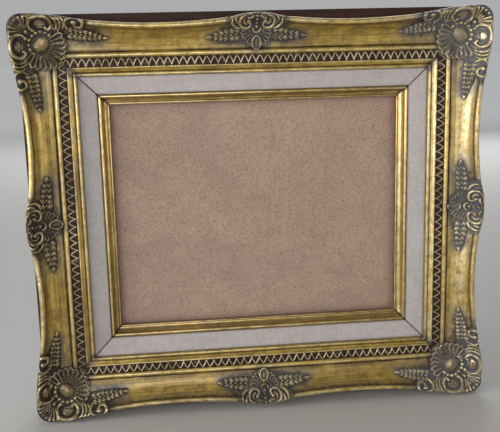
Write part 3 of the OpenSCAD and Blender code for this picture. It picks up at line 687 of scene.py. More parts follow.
def ear(R, p0, p1, n, w0, w1, h=1.6, turn=31, seed=1):
    """A pointed spray: pairs of leaves on a stem, on a low dark bed."""
    g = np.random.default_rng(seed)
    p0, p1 = np.asarray(p0, float), np.asarray(p1, float)
    L = np.linalg.norm(p1 - p0)
    d = (p1 - p0) / L
    q = np.array([-d[1], d[0]])
    a = math.degrees(math.atan2(d[1], d[0]))
    wid = lambda t: w1 + (w0 - w1) * (1 - max(0.0, t) ** 2.4)
    R.dark = 0.85
    bed = [p0 + d * L * t for t in np.linspace(-0.03, 0.97, 12)]
    R.stroke(bed, [wid(t) + 0.25 for t in np.linspace(-0.03, 0.97, 12)], [0.5], power=0.2)
    R.dark = 0.50
    for k in range(n):
        t = (k + 0.25) / n
        w = wid(t + 0.12)
        ln = (0.66 * L / n) * (1.0 - 0.12 * t)
        for sg in (-1, 1):
            j = g.uniform(-1, 1, 4)
            c = p0 + d * (L * t + 0.35 * ln + 0.35 * j[0]) + q * sg * w * 0.53
            an = a + sg * (turn + 7 * j[1])
            R.dome(c[0], c[1], ln * (1 + 0.1 * j[2]), 0.40 * w, h * (1 + 0.15 * j[3]), an, power=0.75, base=0.2, dish=0.0)
            e = np.array([math.cos(math.radians(an)), math.sin(math.radians(an))])
            R.cut([c - e * ln * 0.8, c + e * ln * 0.6], 0.26, 0.8)
        c = p0 + d * (L * (t + 0.42 / n))
        R.dome(c[0], c[1], 1.15, 0.75, h * 0.95, a, power=0.5, base=0.2)
    e = p1 - d * 0.6
    R.dome(e[0], e[1], 2.3, 1.05, h * 0.9, a, power=0.5, base=0.2)
    R.dark = 0.0


STEP = 0.3


def corner_relief():
    R = Relief(0.0, 80.0, 0.0, 80.0, STEP)
    F = (24.3, 23.4)
    # low bed that carries the carving
    R.dark = 0.56
    R.dome(F[0], F[1], 19.0, 19.0, 0.7, power=0.12)
    R.stroke([(7, 7), (24, 9), (40, 9.5), (52, 8.8), (58, 7.5)], [8.5, 8.5, 7.5, 6.0, 3.6], [0.8, 0.8, 0.7, 0.6, 0.5], power=0.15)
    R.dark = 0.0
    # shell facing the picture
    R.fan(F[0], F[1], 45, 106, 15, 6.6, 20.4, 2.4, 2.6, side_r=17.8)
    # the boss comes after the mirroring, below
    # outer tip fan with its pearl
    R.fan(13.0, 13.0, 225, 76, 8, 2.2, 11.4, 2.6, 2.3, loops=False)
    # scroll nearest the corner
    s = curve([(18.6, 13.2), (16.2, 10.2), (17.2, 5.4), (22.0, 2.8), (27.5, 2.6), (32.0, 5.0), (33.6, 9.4), (31.0, 12.6), (28.4, 11.4)], 64)
    R.stroke(s, [1.7, 1.25, 1.5, 1.8, 1.9, 1.7, 1.4, 1.1, 1.3], [3.0, 3.0, 3.1, 3.3, 3.3, 3.2, 2.9, 2.7, 2.9])
    R.dome(18.9, 13.0, 1.9, 1.7, 3.5)
    R.dome(28.6, 11.2, 1.5, 1.5, 3.1)
    R.dome(25.0, 8.0, 5.0, 3.3, 2.3, ang=10)
    R.cut(curve([(21.5, 9.4), (25, 9.7), (29, 9.2)], 12), 0.3, 0.7)
    # nested leaf claws
    for k, off in enumerate((0.0, 2.9, 5.8)):
        a = 35.6 + off
        c = curve([(a - 1.6, 3.2 + 0.25 * k), (a + 1.2, 5.2), (a + 1.9, 9.0), (a + 0.2, 13.4 - 0.9 * k)], 20)
        R.stroke(c, [0.9, 1.35, 1.3, 0.6], [2.3, 2.9, 2.7, 1.6])
    # C scroll before the nick
    s = curve([(45.6, 12.4), (43.9, 9.0), (45.8, 5.0), (50.4, 3.6), (55.2, 4.8), (57.6, 8.2), (55.6, 11.6), (51.8, 11.2), (50.6, 8.6)], 60)
    R.stroke(s, [0.9, 1.2, 1.5, 1.6, 1.5, 1.4, 1.2, 1.1, 1.2], [1.9, 2.3, 2.6, 2.7, 2.6, 2.5, 2.3, 2.2, 2.4])
    R.dome(51.0, 8.0, 2.4, 2.0, 2.2)
    # rolled outer edge that joins the scrolls
    s = curve([(13, 2.1), (22, 1.7), (34, 2.0), (46, 3.0), (58.8, 5.4)], 30)
    R.stroke(s, [1.3, 1.7, 1.8, 1.6, 1.2], [1.6, 1.9, 2.0, 1.7, 1.2])
    H = np.maximum(R.H, R.H.T)
    R.D = np.where(R.H >= R.H.T, R.D, R.D.T)
    R.H = H
    # pieces on the diagonal, and the drops behind the boss, after mirroring
    for k in range(-4, 5):
        t = math.radians(225 + 23 * k)
        R.dome(F[0] + 9.3 * math.cos(t), F[1] + 9.3 * math.sin(t), 2.0, 1.6, 2.6, ang=math.degrees(t) + 90)
    R.dark = 0.42
    R.dome(F[0], F[1], 8.9, 7.3, 1.5, ang=-45, power=0.3)
    R.dark = 0.46
    R.dome(F[0], F[1], 8.3, 6.7, 3.6, ang=-45, power=0.85)
    R.dark = 0.0
    R.dome(13.6, 13.6, 1.8, 1.8, 3.9)
    ear(R, (45.8, 15.4), (75.0, 20.0), 8, 4.8, 1.5, seed=3)
    ear(R, (15.4, 45.8), (20.0, 75.0), 8, 4.8, 1.5, seed=4)
    return R, F


def centre_relief():
    R = Relief(-46.0, 46.0, 37.5, 71.5, STEP)
    # low bed
    R.dark = 0.56
    R.dome(0, 54.5, 12.5, 11.5, 0.7, power=0.12)
    R.stroke([(-19, 62.5), (-9, 61.5), (0, 60.5), (9, 61.5), (19, 62.5)], [4.6, 8.4, 9.0, 8.4, 4.6], [0.6] * 5, power=0.15)
    R.dark = 0.0
    # daisy of narrow petals, with the large one towards the picture
    R.fan(0, 56.4, 270, 104, 13, 3.4, 13.6, 2.3, 2.4, side_r=12.4)
    for cx, cy, rx, ry, ang in ((0, 46.6, 6.2, 4.1, 90),):
        w = R._win(cx - rx, cx + rx, cy - rx, cy + rx)
        X, Y = R.X[w] - cx, R.Y[w] - cy
        c, sn = math.cos(math.radians(ang)), math.sin(math.radians(ang))
        u, v = (X * c + Y * sn) / rx, (-X * sn + Y * c) / ry
        q = np.sqrt(u * u + v * v)
        z = 1.5 + 1.5 * np.exp(-(((q - 0.84) / 0.12) ** 2)) + 0.22 * np.exp(-((v / 0.16) ** 2)) * (q < 0.7)
        z = z * np.sqrt(np.clip((1 - q) / 0.08, 0, 1))
        R.H[w] = np.where(q < 1, z, R.H[w])
        R.D[w] = np.where(q < 1, np.where(z > 2.0, 0.0, 0.42), R.D[w])
    # cup with its pearl
    R.dark = 0.6
    R.dome(0, 57.6, 3.9, 3.9, 1.3, power=0.2)
    R.dark = 0.0
    t = np.linspace(-172, -8, 24)
    cup = np.stack([3.3 * np.cos(np.radians(t)), 57.9 + 3.3 * np.sin(np.radians(t))], 1)
    R.stroke(cup, [0.75, 1.0, 0.75], [2.9, 3.2, 2.9])
    for k, rr in enumerate((1.35, 0.95, 0.9, 0.85)):
        R.dome(0, 58.9 + 2.7 * k, rr, rr, 3.3 - 0.3 * k)
    # C scrolls open towards the string of pearls, with leaf tails
    for s in (-1, 1):
        c = curve([(6.6 * s, 62.6), (5.0 * s, 61.0), (5.6 * s, 58.7), (8.8 * s, 57.7), (12.2 * s, 58.9), (13.8 * s, 62.2), (12.6 * s, 65.6), (9.0 * s, 67.6)], 60)
        R.stroke(c, [1.25, 1.0, 1.1, 1.3, 1.4, 1.4, 1.2, 0.8], [2.9, 2.5, 2.6, 2.8, 2.9, 2.9, 2.6, 2.0])
        R.dome(6.7 * s, 62.7, 1.7, 1.5, 3.1)
        c = curve([(8.6 * s, 61.0), (10.6 * s, 62.6), (9.8 * s, 64.8)], 12)
        R.stroke(c, [0.9, 0.9, 0.5], [1.9, 1.8, 1.2])
        c = curve([(3.0 * s, 66.8), (5.4 * s, 65.2), (7.4 * s, 65.4)], 12)
        R.stroke(c, [0.8, 0.9, 0.6], [2.2, 2.0, 1.4])
        c = curve([(13.4 * s, 57.6), (17.0 * s, 58.6), (19.6 * s, 61.4), (19.6 * s, 64.6)], 20)
        R.stroke(c, [0.7, 1.3, 1.2, 0.6], [1.8, 2.4, 2.2, 1.3])
        c = curve([(15.6 * s, 62.0), (17.0 * s, 64.4), (15.8 * s, 66.8)], 14)
        R.stroke(c, [0.8, 1.1, 0.8], [1.8, 2.1, 1.6])
        c = curve([(4.5 * s, 69.0), (10 * s, 68.9), (16.5 * s, 67.4), (20.6 * s, 65.7)], 20)
        R.stroke(c, [1.0, 1.3, 1.2, 0.8], [1.5, 1.7, 1.5, 1.0])
        ear(R, (13.2 * s, 53.4), (39.0 * s, 51.4), 6, 5.2, 1.6, seed=9 + s)
    return R


def relief_piece(name, R, ground, inside, to_w, flip, node, pc_off):
    """Turns a relief into a closed solid that sits a little into the moulding."""
    g0 = ground
    base = blur(g0, 1.3 / R.step)
    base = np.maximum(base, g0 - 0.6)
    H = R.H.copy()
    # hand finishing: slight unevenness
    H = np.where(H > 0.3, H + 0.10 * value_noise(R.X, R.Y, 1.6, len(name) * 7 + 3) + 0.12 * value_noise(R.X, R.Y, 5.5, len(name)), H)
    mask = (H > 0.12) & inside
    # keep only cells whose four corners are in
    cell = mask[:-1, :-1] & mask[1:, :-1] & mask[:-1, 1:] & mask[1:, 1:]
    # drop cells joined only at a corner, so the walls stay two-sided
    for _ in range(3):
        p = np.pad(cell, 1)
        nb = p[:-2, 1:-1].astype(int) + p[2:, 1:-1] + p[1:-1, :-2] + p[1:-1, 2:]
        cell &= nb >= 2
        a, b, c, d = cell[:-1, :-1], cell[1:, :-1], cell[:-1, 1:], cell[1:, 1:]
        bad = (a & d & ~b & ~c) | (b & c & ~a & ~d)
        if bad.any():
            k = np.argwhere(bad)
            cell[k[:, 0], k[:, 1]] = False
            cell[k[:, 0] + 1, k[:, 1]] = False
    used = np.zeros_like(mask)
    used[:-1, :-1] |= cell
    used[1:, :-1] |= cell
    used[:-1, 1:] |= cell
    used[1:, 1:] |= cell
    idx = -np.ones(mask.shape, int)
    idx[used] = np.arange(used.sum())
    n = int(used.sum())
    top = base[used] + np.maximum(H[used], 0.12)
    low = np.minimum(g0[used], base[used]) - 0.9
    X, Y = R.X[used], R.Y[used]
    v = np.concatenate([to_w(X, Y, top), to_w(X, Y, low)])
    ci, cj = np.nonzero(cell)
    q = np.stack([idx[ci, cj], idx[ci + 1, cj], idx[ci + 1, cj + 1], idx[ci, cj + 1]], 1)
    faces = [q, (q + n)[:, ::-1]]
    p = np.pad(cell, 1)
    for di, dj, e0, e1 in ((-1, 0, (0, 1), (0, 0)), (1, 0, (1, 0), (1, 1)), (0, -1, (0, 0), (1, 0)), (0, 1, (1, 1), (0, 1))):
        edge = cell & ~p[1 + di : 1 + di + cell.shape[0], 1 + dj : 1 + dj + cell.shape[1]]
        a, b = np.nonzero(edge)
        i0, i1 = idx[a + e0[0], b + e0[1]], idx[a + e1[0], b + e1[1]]
        faces.append(np.stack([i0, i0 + n, i1 + n, i1], 1))
    f = np.concatenate(faces)
    if flip:
        f = f[:, ::-1]
    small = blur(np.maximum(H, 0.0), 0.75 / R.step)
    wide = blur(np.maximum(H, 0.0), 1.9 / R.step)
    # umber with painted shade in the hollows, plus the darkness set per area; the raised tops worn paler, with a
    # painted highlight
    grime_and_shade = np.clip((small - H) * 1.8 + (wide - H) * 0.8 + 0.04 + R.D, 0, 1)
    wear_and_highlight = np.clip(((H - small) * 2.2 + (H - wide) * 0.5) * (1 - 0.8 * R.D), 0, 1)
    wash = np.clip((wide - H) * 0.7 + 0.45 * (H < 1.1) + 0.22, 0, 1)
    z = np.ones(n)
    at = {
        "grime_and_shade": np.concatenate([grime_and_shade[used], z * 0.8]),
        "wear_and_highlight": np.concatenate([wear_and_highlight[used], z * 0]),
        "wash": np.concatenate([wash[used], z * 0]),
        "pc": np.concatenate([np.stack([X + pc_off, Y, top], 1), np.stack([X + pc_off, Y, low], 1)]),
    }
    # drop unused lower points only by never making them: all are used by the base
    return make(name, v, f, GOLD_CAST, at, "frame", [node], sharp=0)


CR, FAN_C = corner_relief()
XR = centre_relief()

# ground height under the corner relief (a, c) and the centre relief (x, m)
_u = np.maximum(CR.X, CR.Y)
_mo_c = outer_margin(0, SW + M - _u)
_m_c = M - np.minimum(CR.X, CR.Y)
CG = surf(_mo_c, _m_c)
_rc = np.hypot(np.clip(CORNER_R - CR.X, 0, None), np.clip(CORNER_R - CR.Y, 0, None))
C_IN = (_m_c < _mo_c - 0.35) & (_rc < CORNER_R - 0.35)
XG = [surf(outer_margin(i, XR.X), XR.Y) for i in range(4)]
X_IN = [XR.Y < outer_margin(i, XR.X) - 0.35 for i in range(4)]

# soft masks round the ornaments: the wide ones for the grey-blue toning, the near ones for painted shade close beside
# them
C_MASK = blur((CR.H > 0.12).astype(float), 6.0 / STEP)
C_NEAR = blur((CR.H > 0.12).astype(float), 1.25 / STEP)
X_MASK = blur((XR.H > 0.12).astype(float), 4.6 / STEP)
X_NEAR = blur((XR.H > 0.12).astype(float), 1.2 / STEP)


def sample(R, A, x, y):
    """Bilinear sample, zero outside the grid."""
    u = (x - R.x[0]) / R.step
    v = (y - R.y[0]) / R.step
    ok = (u >= 0) & (u < A.shape[0] - 1) & (v >= 0) & (v < A.shape[1] - 1)
    u, v = np.where(ok, u, 0), np.where(ok, v, 0)
    i, j = u.astype(int), v.astype(int)
    fu, fv = u - i, v - j
    r = A[i, j] * (1 - fu) * (1 - fv) + A[i + 1, j] * fu * (1 - fv) + A[i, j + 1] * (1 - fu) * fv + A[i + 1, j + 1] * fu * fv
    return np.where(ok, r, 0.0)


def toning(i, x, m):
    """(wash, near) for a point of side i."""
    a = half(i) + M - np.abs(x)
    c = M - m
    w = np.maximum(sample(CR, C_MASK, a, c), sample(XR, X_MASK, x, m))
    n = np.maximum(sample(CR, C_NEAR, a, c), sample(XR, X_NEAR, x, m))
    return w, n


# ---------------------------------------------------------------- gilded rails
def rail(i, name):
    hl = half(i)
    ns = int(2 * (hl + 60) / 0.8) | 1
    s = np.linspace(-1, 1, ns)
    # outer margin by damped steps, since x depends on it
    mo = np.full(ns, 68.0)
    for _ in range(40):
        mo = 0.5 * mo + 0.5 * outer_margin(i, s * (hl + mo))
    mi = mo - RIM_W
    cols_m, cols_h, tags = [], [], []
    for k in range(len(INNER)):
        cols_m.append(np.full(ns, INNER_M[k]))
        cols_h.append(np.full(ns, INNER_H[k]))
    for k in range(1, N_COVE + 1):
        t = k / N_COVE
        cols_m.append(COVE_M0 + (mi - COVE_M0) * t)
        cols_h.append(np.full(ns, float(cove_h(t))))
    for k in range(N_RIM):
        q = -1 + 2 * (k + 0.35) / (N_RIM - 0.3)
        cols_m.append(mi + RIM_W / 2 * (1 + q))
        cols_h.append(np.full(ns, RIM_H - 0.15 + 2.25 * math.sqrt(max(0, 1 - q * q))))
    nfront = len(cols_m)
    # outer side: a fillet, then a hollow down to the flat back
    for dm, h in ((0.15, RIM_H - 0.7), (-0.3, RIM_H - 1.9), (-0.55, RIM_H - 2.6), (-0.2, RIM_H - 3.2), (-0.9, RIM_H - 4.6), (-2.0, RIM_H - 7.0), (-2.5, RIM_H - 9.6), (-2.2, RIM_H - 12.4), (-1.3, RIM_H - 15.0), (-1.0, B + 0.35), (-1.4, B)):
        cols_m.append(mo + dm)
        cols_h.append(np.full(ns, h))
    nback0 = len(cols_m)
    for m in (55.0, 40.0, 30.5, 24.2, 23.4):
        cols_m.append(np.full(ns, m))
        cols_h.append(np.full(ns, B))
    Mg, Hg = np.stack(cols_m, 1), np.stack(cols_h, 1)
    nv = Mg.shape[1]
    Xg = s[:, None] * (hl + Mg)
    # hand finishing: slow waves, small dents, and nicks in the rim beside the ornaments
    front = np.zeros(nv)
    front[3:nfront] = 1
    Hg = Hg + front * (0.10 * value_noise(Xg, Mg, 23, 11 + i) + 0.05 * value_noise(Xg, Mg, 4.5, 31 + i))
    ax = np.abs(Xg)
    rimw = smooth((Mg - (mi[:, None] - 0.8)) / 1.6) * front
    for pos, dep, wid in ((21.6, 1.5, 0.75), (hl + M - 60.2, 1.5, 0.8)):
        Hg = Hg - rimw * dep * gauss(ax, pos + 0.25 * (Mg - 62), wid)
    # a few dents along the rim
    g = np.random.default_rng(90 + i)
    for _ in range(9):
        px = g.uniform(-hl - 10, hl + 10)
        Hg = Hg - rimw * g.uniform(0.15, 0.5) * gauss(Xg, px, g.uniform(0.5, 1.4)) * gauss(Mg, mo[:, None] - g.uniform(0.3, 3.6), 1.2)
    # umber with painted shade in the grooves, the quirks and along the foot of the rim; the strip under the tongue
    # ornament dark, the outer side and the back darker
    grime_and_shade = 0.8 * gauss(Mg, E + 3.2, 0.38) + 0.22 * gauss(Mg, E + 4.3, 0.7) + 0.55 * gauss(Mg, E + 0.1, 0.35)
    grime_and_shade = grime_and_shade + ((Mg > E + 7.3) & (Mg < E + 14.7)) * 1.0
    brk = 0.75 + 0.35 * value_noise(Xg, Mg, 14, 71 + i)
    grime_and_shade = grime_and_shade + brk * (0.85 * gauss(Mg, E + 19.1, 0.5) + 0.40 * gauss(Mg, E + 20.1, 1.2)) + 0.18 * gauss(Mg, E + 22.5, 2.8)
    grime_and_shade = grime_and_shade + front * (0.8 * gauss(Mg, mi[:, None] - 0.15, 0.45) + 0.30 * gauss(Mg, mi[:, None] - 1.6, 1.7))
    grime_and_shade[:, nfront:] = 0.5
    grime_and_shade[:, nfront : nfront + 2] = 0.25
    grime_and_shade[:, nback0:] = 0.9
    # worn, paler tops of the beads and the rim, with a painted highlight on them
    wear_and_highlight = 0.9 * gauss(Mg, E + 1.5, 0.7) + 0.8 * gauss(Mg, E + 6.7, 0.6) + 0.9 * gauss(Mg, E + 16.6, 1.0) + front * 0.9 * gauss(Mg, mo[:, None] - 2.0, 1.2)
    wear_and_highlight[:, nfront:] = 0
    w, near = toning(i, Xg, Mg)
    edge = np.abs(hl + Mg - ax)
    w = np.maximum(w, 0.75 * gauss(edge, 0, 4.5) * (Mg < 46))
    wash = np.clip(w * 2.5, 0, 1) * front
    if SIDES[i] == "bottom":
        # painted shade: the scoop on this side darker, most towards the rim
        grime_and_shade = grime_and_shade + front * (0.12 + 0.14 * gauss(Mg, mi[:, None] - 5.0, 6.0)) * (Mg > E + 19.0)
    if SIDES[i] == "right":
        # painted highlight: the scoop and the inner step paler on this side, where the light from the left reflects
        wear_and_highlight = wear_and_highlight + (0.8 * gauss(Mg, mi[:, None] - 6.5, 5.0) + 0.9 * gauss(Mg, E + 3.6, 2.6)) * front
    # painted shade close round the ornaments, and darker at the mitres
    grime_and_shade = np.clip(grime_and_shade + 1.15 * near * front + 0.3 * gauss(edge, 0, 2.5) * (Mg < 46), 0, 1)
    v = to_world(i, Xg.ravel(), Mg.ravel(), Hg.ravel())
    f = grid_faces(ns, nv, flip=False)
    # close the loop between the last and the first column
    r = np.arange(ns - 1) * nv
    f2 = np.stack([r + nv - 1, r + 2 * nv - 1, r + nv, r], 1)
    f = np.concatenate([f, f2])[:, ::-1]
    faces = [f]
    caps = [np.arange(nv)[None, :], (np.arange(nv) + (ns - 1) * nv)[None, ::-1]]
    at = {"grime_and_shade": grime_and_shade.ravel(), "wear_and_highlight": np.clip(wear_and_highlight, 0, 1).ravel(), "wash": wash.ravel(), "pc": np.stack([Xg.ravel() + 500 * i, Mg.ravel(), Hg.ravel()], 1)}
    return make(name, v, faces + caps, GOLD_RAIL, at, "frame", [name], sharp=48)


SIDES = ("top", "left", "bottom", "right")
for i, sd in enumerate(SIDES):
    rail(i, "rail_" + sd)


# ---------------------------------------------------------------- lamb's tongue strips
def tongue(i, name):
    hl = half(i)
    m0, m1 = E + 7.55, E + 14.4
    nm = 25
    ms = np.linspace(m0, m1, nm)
    ns = int(2 * (hl + 34) / 0.32) | 1
    s = np.linspace(-1, 1, ns)
    Mg = np.broadcast_to(ms[None, :], (ns, nm)).copy()
    Xg = s[:, None] * (hl + Mg)
    pitch = (6.2, 6.6, 6.5, 6.8)[i]
    n = round(2 * (hl + 33.8) / pitch)
    pitch = 2 * (hl + 33.8) / n
    wob = 0.35 * value_noise(Xg, Mg * 0 + i * 7.0, 19, 5 + i)
    ph = (Xg + wob) / pitch + 0.5 * (n % 2)
    f = ph - np.floor(ph) - 0.5
    v = (Mg - m0) / (m1 - m0)
    # rounded towards the rim, pointed towards the picture
    top = 0.90 - 0.80 * np.abs(2 * f) ** 1.55
    slope = 0.80 * 1.55 * np.abs(2 * f) ** 0.55 * 2 / pitch * (m1 - m0)
    d = (v - top) * (m1 - m0) / np.sqrt(1 + slope**2)
    line = np.exp(-((d / 0.60) ** 2))
    tip = np.exp(-(((np.abs(f) - 0.5) * pitch / 0.62) ** 2 + ((v - 0.10) * (m1 - m0) / 0.62) ** 2))
    dart = 0.5 * np.exp(-((f * pitch / 0.75) ** 2 + ((v - 0.22) * (m1 - m0) / 1.4) ** 2))
    lip = np.exp(-(((v - 0.0) / 0.05) ** 2)) * 0.5 + np.exp(-(((v - 1.0) / 0.05) ** 2)) * 0.5
    h = 0.15 + 1.6 * np.clip(np.maximum(line, tip), 0, 1) + 0.5 * dart + 0.35 * lip
    h = h + 0.08 * value_noise(Xg, Mg, 2.2, 17 + i)
    inside = smooth((np.abs(hl + Mg - np.abs(Xg)) - 0.2) / 1.2)
    h = 0.15 + (h - 0.15) * (0.35 + 0.65 * inside)
    top_h = B + 3.25 + h
    # umber with painted shade in the hollows between the raised lines; the lines worn paler, with a painted highlight
    grime_and_shade = np.clip(1.25 - 1.35 * np.maximum(np.maximum(line, tip), 0.35 * dart), 0, 1)
    wear_and_highlight = np.clip(np.maximum(line, tip) - 0.45, 0, 1)
    w, near = toning(i, Xg, Mg)
    wash = np.clip(w * 1.1 + 0.30 * gauss(np.abs(hl + Mg - np.abs(Xg)), 0, 6), 0, 1)
    k = ns * nm
    ver = np.concatenate([to_world(i, Xg.ravel(), Mg.ravel(), top_h.ravel()), to_world(i, Xg.ravel(), Mg.ravel(), np.full(k, B + 2.9))])
    ft = grid_faces(ns, nm)
    fb = grid_faces(ns, nm, flip=True, off=k)
    a = np.arange(ns - 1) * nm
    s0 = np.stack([a, a + k, a + nm + k, a + nm], 1)
    b = a + nm - 1
    s1 = np.stack([b, b + nm, b + nm + k, b + k], 1)
    c = np.arange(nm - 1)
    e0 = np.stack([c, c + 1, c + 1 + k, c + k], 1)
    d0 = c + (ns - 1) * nm
    e1 = np.stack([d0, d0 + k, d0 + 1 + k, d0 + 1], 1)
    faces = np.concatenate([ft, fb, s0, s1, e0, e1])
    z = np.zeros(k)
    at = {"grime_and_shade": np.concatenate([grime_and_shade.ravel(), z + 1]), "wear_and_highlight": np.concatenate([wear_and_highlight.ravel(), z]), "wash": np.concatenate([wash.ravel(), z]),
          "pc": np.concatenate([np.stack([Xg.ravel() + 500 * i, Mg.ravel(), top_h.ravel()], 1)] * 2)}
    return make(name, ver, faces, GOLD_TONGUE, at, "frame", [name], sharp=0)


for i, sd in enumerate(SIDES):
    tongue(i, "tongue_strip_" + sd)

# ---------------------------------------------------------------- cast ornaments
for key, sx, sy in (("tr", 1, 1), ("tl", -1, 1), ("bl", -1, -1), ("br", 1, -1)):
    nm = "corner_ornament_" + key

    def place(X, Y, h, sx=sx, sy=sy):
        return flat_to_world(sx * (OX - X), sy * (OY - Y), h)

    relief_piece(nm, CR, CG, C_IN, place, sx * sy < 0, nm, 900 + 100 * sx + 200 * sy)

for i, sd in enumerate(SIDES):
    nm = "centre_ornament_" + sd

    def place(X, Y, h, i=i):
        return to_world(i, X, Y, h)

    relief_piece(nm, XR, XG[i], X_IN[i], place, False, nm, 2000 + 100 * i)


# ---------------------------------------------------------------- gilt slips, linen, liner
def sweep(i, name, prof, gap, mat, nodes, step=1.2, attrs_fn=None, sharp=42, m_lo=None, jitter=0.0):
    """A closed section [(m, h)] carried along side i, cut at the mitres."""
    P = np.array(prof, float)
    hl = half(i)
    ns = int(2 * hl / step) | 1
    s = np.linspace(-1, 1, ns)
    Mg = np.broadcast_to(P[:, 0][None, :], (ns, len(P))).copy()
    Hg = np.broadcast_to(P[:, 1][None, :], (ns, len(P))).copy()
    gp = np.interp(Mg, [0.0, 9.0, 23.0], [gap, gap * 0.95, gap * 0.4])
    Xg = s[:, None] * (hl + Mg - gp)
    if jitter:
        Hg = Hg + jitter * value_noise(Xg, Mg, 9, 61 + i) * (Hg > P[:, 1].min() + 1.5)
    nv = len(P)
    f = grid_faces(ns, nv)
    r = np.arange(ns - 1) * nv
    f = np.concatenate([f, np.stack([r + nv - 1, r + 2 * nv - 1, r + nv, r], 1)])[:, ::-1]
    caps = [np.arange(nv)[None, :], (np.arange(nv) + (ns - 1) * nv)[None, ::-1]]
    at = attrs_fn(i, Xg, Mg, Hg) if attrs_fn else {}
    at["pc"] = np.stack([Xg.ravel() + 500 * i, Mg.ravel(), Hg.ravel()], 1)
    return make(name, to_world(i, Xg.ravel(), Mg.ravel(), Hg.ravel()), [f] + caps, mat, at, "frame", nodes, sharp)


SLIP = (
    [(0.0, -3.0), (0.0, -2.0), (0.0, -1.0)]
    + arc(0.72, -0.78, 0.72, 175, 5, 8)
    + [(1.55, -0.95), (1.75, -0.75)]
    + [(1.75 + 3.55 * math.sin(math.radians(t)) / math.sin(math.radians(72)), -0.75 + 4.3 * (1 - math.cos(math.radians(t))) / (1 - math.cos(math.radians(72)))) for t in np.linspace(6, 72, 12)]
    + [(5.42, 3.75), (5.5, 4.2)]
    + arc(6.88, 4.55, 1.36, 172, 8, 11)
    + [(8.35, 4.35), (8.5, 4.15), (8.68, 4.3), (8.7, 4.6), (8.7, 1.0), (8.7, -3.0)]
)


def slip_attrs(i, X, Mg, H):
    edge = np.abs(half(i) + Mg - np.abs(X))
    # umber with painted shade in the quirks; painted shade in the cove, heavier on the top and bottom slips; darker at
    # the mitre ends and on the hidden back
    grime_and_shade = 0.8 * gauss(Mg, 1.62, 0.22) + 0.65 * gauss(Mg, 5.46, 0.22) + 0.8 * gauss(Mg, 8.5, 0.22)
    grime_and_shade = grime_and_shade + (0.55 if i % 2 == 0 else 0.22) * gauss(Mg, 4.2, 0.95) + 0.9 * gauss(edge, 0.35, 0.35)
    grime_and_shade = np.clip(grime_and_shade + (H < -0.9) * 0.8, 0, 1)
    # worn, paler beads with a painted highlight, and on the right slip a painted highlight across the cove
    wear_and_highlight = np.clip(0.9 * gauss(Mg, 0.7, 0.45) + 0.9 * gauss(Mg, 6.9, 0.8) + (0.95 * gauss(Mg, 3.5, 1.5) if SIDES[i] == "right" else 0), 0, 1)
    return {"grime_and_shade": grime_and_shade.ravel(), "wear_and_highlight": wear_and_highlight.ravel(), "wash": (0 * grime_and_shade).ravel()}


LIN_N = 15
LINEN_P = (
    [(8.72, 5.1), (8.72, 5.75)]
    + [(8.95 + (E - 0.15 - 8.95) * t, 6.05 + 3.42 * t) for t in np.linspace(0, 1, LIN_N)]
    + [(E + 0.8, 9.48), (26.5, 9.48), (29.2, 9.48), (29.25, 8.75), (26.0, 8.72), (E, 8.72)]
)


def linen_attrs(i, X, Mg, H):
    edge = np.abs(half(i) + Mg - np.abs(X))
    # dust and painted shade where the linen meets the slip and the rail and at the mitres; the part under the rail dark
    grime_and_shade = 0.7 * gauss(Mg, 8.75, 0.35) + 0.55 * gauss(Mg, E - 0.1, 0.55) + 1.0 * gauss(edge, 0.2, 0.4)
    grime_and_shade = np.clip(grime_and_shade + (Mg > E + 0.3) * 0.6, 0, 1)
    return {"grime_and_shade": grime_and_shade.ravel()}


for i, sd in enumerate(SIDES):
    sweep(i, "gilt_slip_" + sd, SLIP, (0.62, 0.5, 0.55, 0.5)[i], GOLD_SLIP, ["gilt_slip_" + sd], 1.5, slip_attrs, jitter=0.05)
    ob = sweep(i, "linen_" + sd, LINEN_P, (0.75, 0.65, 0.6, 0.65)[i], LINEN, ["linen_" + sd], 1.0, linen_attrs, jitter=0.05)

# ---------------------------------------------------------------- backing board
def board():
    x0, z0 = _blo[0] * 1000, _blo[2] * 1000
    nx, nz = 121, 101
    X, Z = np.meshgrid(np.linspace(x0, -x0, nx), np.linspace(z0, -z0, nz), indexing="ij")
    ex = np.minimum(X - x0, -x0 - X)
    ez = np.minimum(Z - z0, -z0 - Z)
    e = np.minimum(ex, ez)
    rnd = np.clip(1 - e / 0.8, 0, 1)
    hf = -5.2 - 0.25 * rnd**2 + 0.0 * X
    hb = BACK + 0.2 * rnd**2
    k = nx * nz
    v = np.concatenate([flat_to_world(X.ravel(), Z.ravel(), hf.ravel()), flat_to_world(X.ravel(), Z.ravel(), (hb + 0 * X).ravel())])
    ft = grid_faces(nx, nz)
    fb = grid_faces(nx, nz, flip=True, off=k)
    a = np.arange(nx - 1) * nz
    s0 = np.stack([a, a + k, a + nz + k, a + nz], 1)
    b = a + nz - 1
    s1 = np.stack([b, b + nz, b + nz + k, b + k], 1)
    c = np.arange(nz - 1)
    e0 = np.stack([c, c + 1, c + 1 + k, c + k], 1)
    d0 = c + (nx - 1) * nz
    e1 = np.stack([d0, d0 + k, d0 + 1 + k, d0 + 1], 1)
    # darkening near the sight edge, where old dust and shadow sit
    sx = np.clip((SW - np.abs(X)) / 9.0, 0, 1)
    sz = np.clip((SH - np.abs(Z)) / 9.0, 0, 1)
    edge = np.clip((1 - sx) ** 2 + (1 - sz) ** 2, 0, 1) * 0.9
    at = {"edge": np.concatenate([edge.ravel(), 0.35 * np.ones(k)])}
    return make("backboard", v, np.concatenate([ft, fb, s0, s1, e0, e1]), BOARD, at, "frame", ["backboard"], sharp=40)


board()


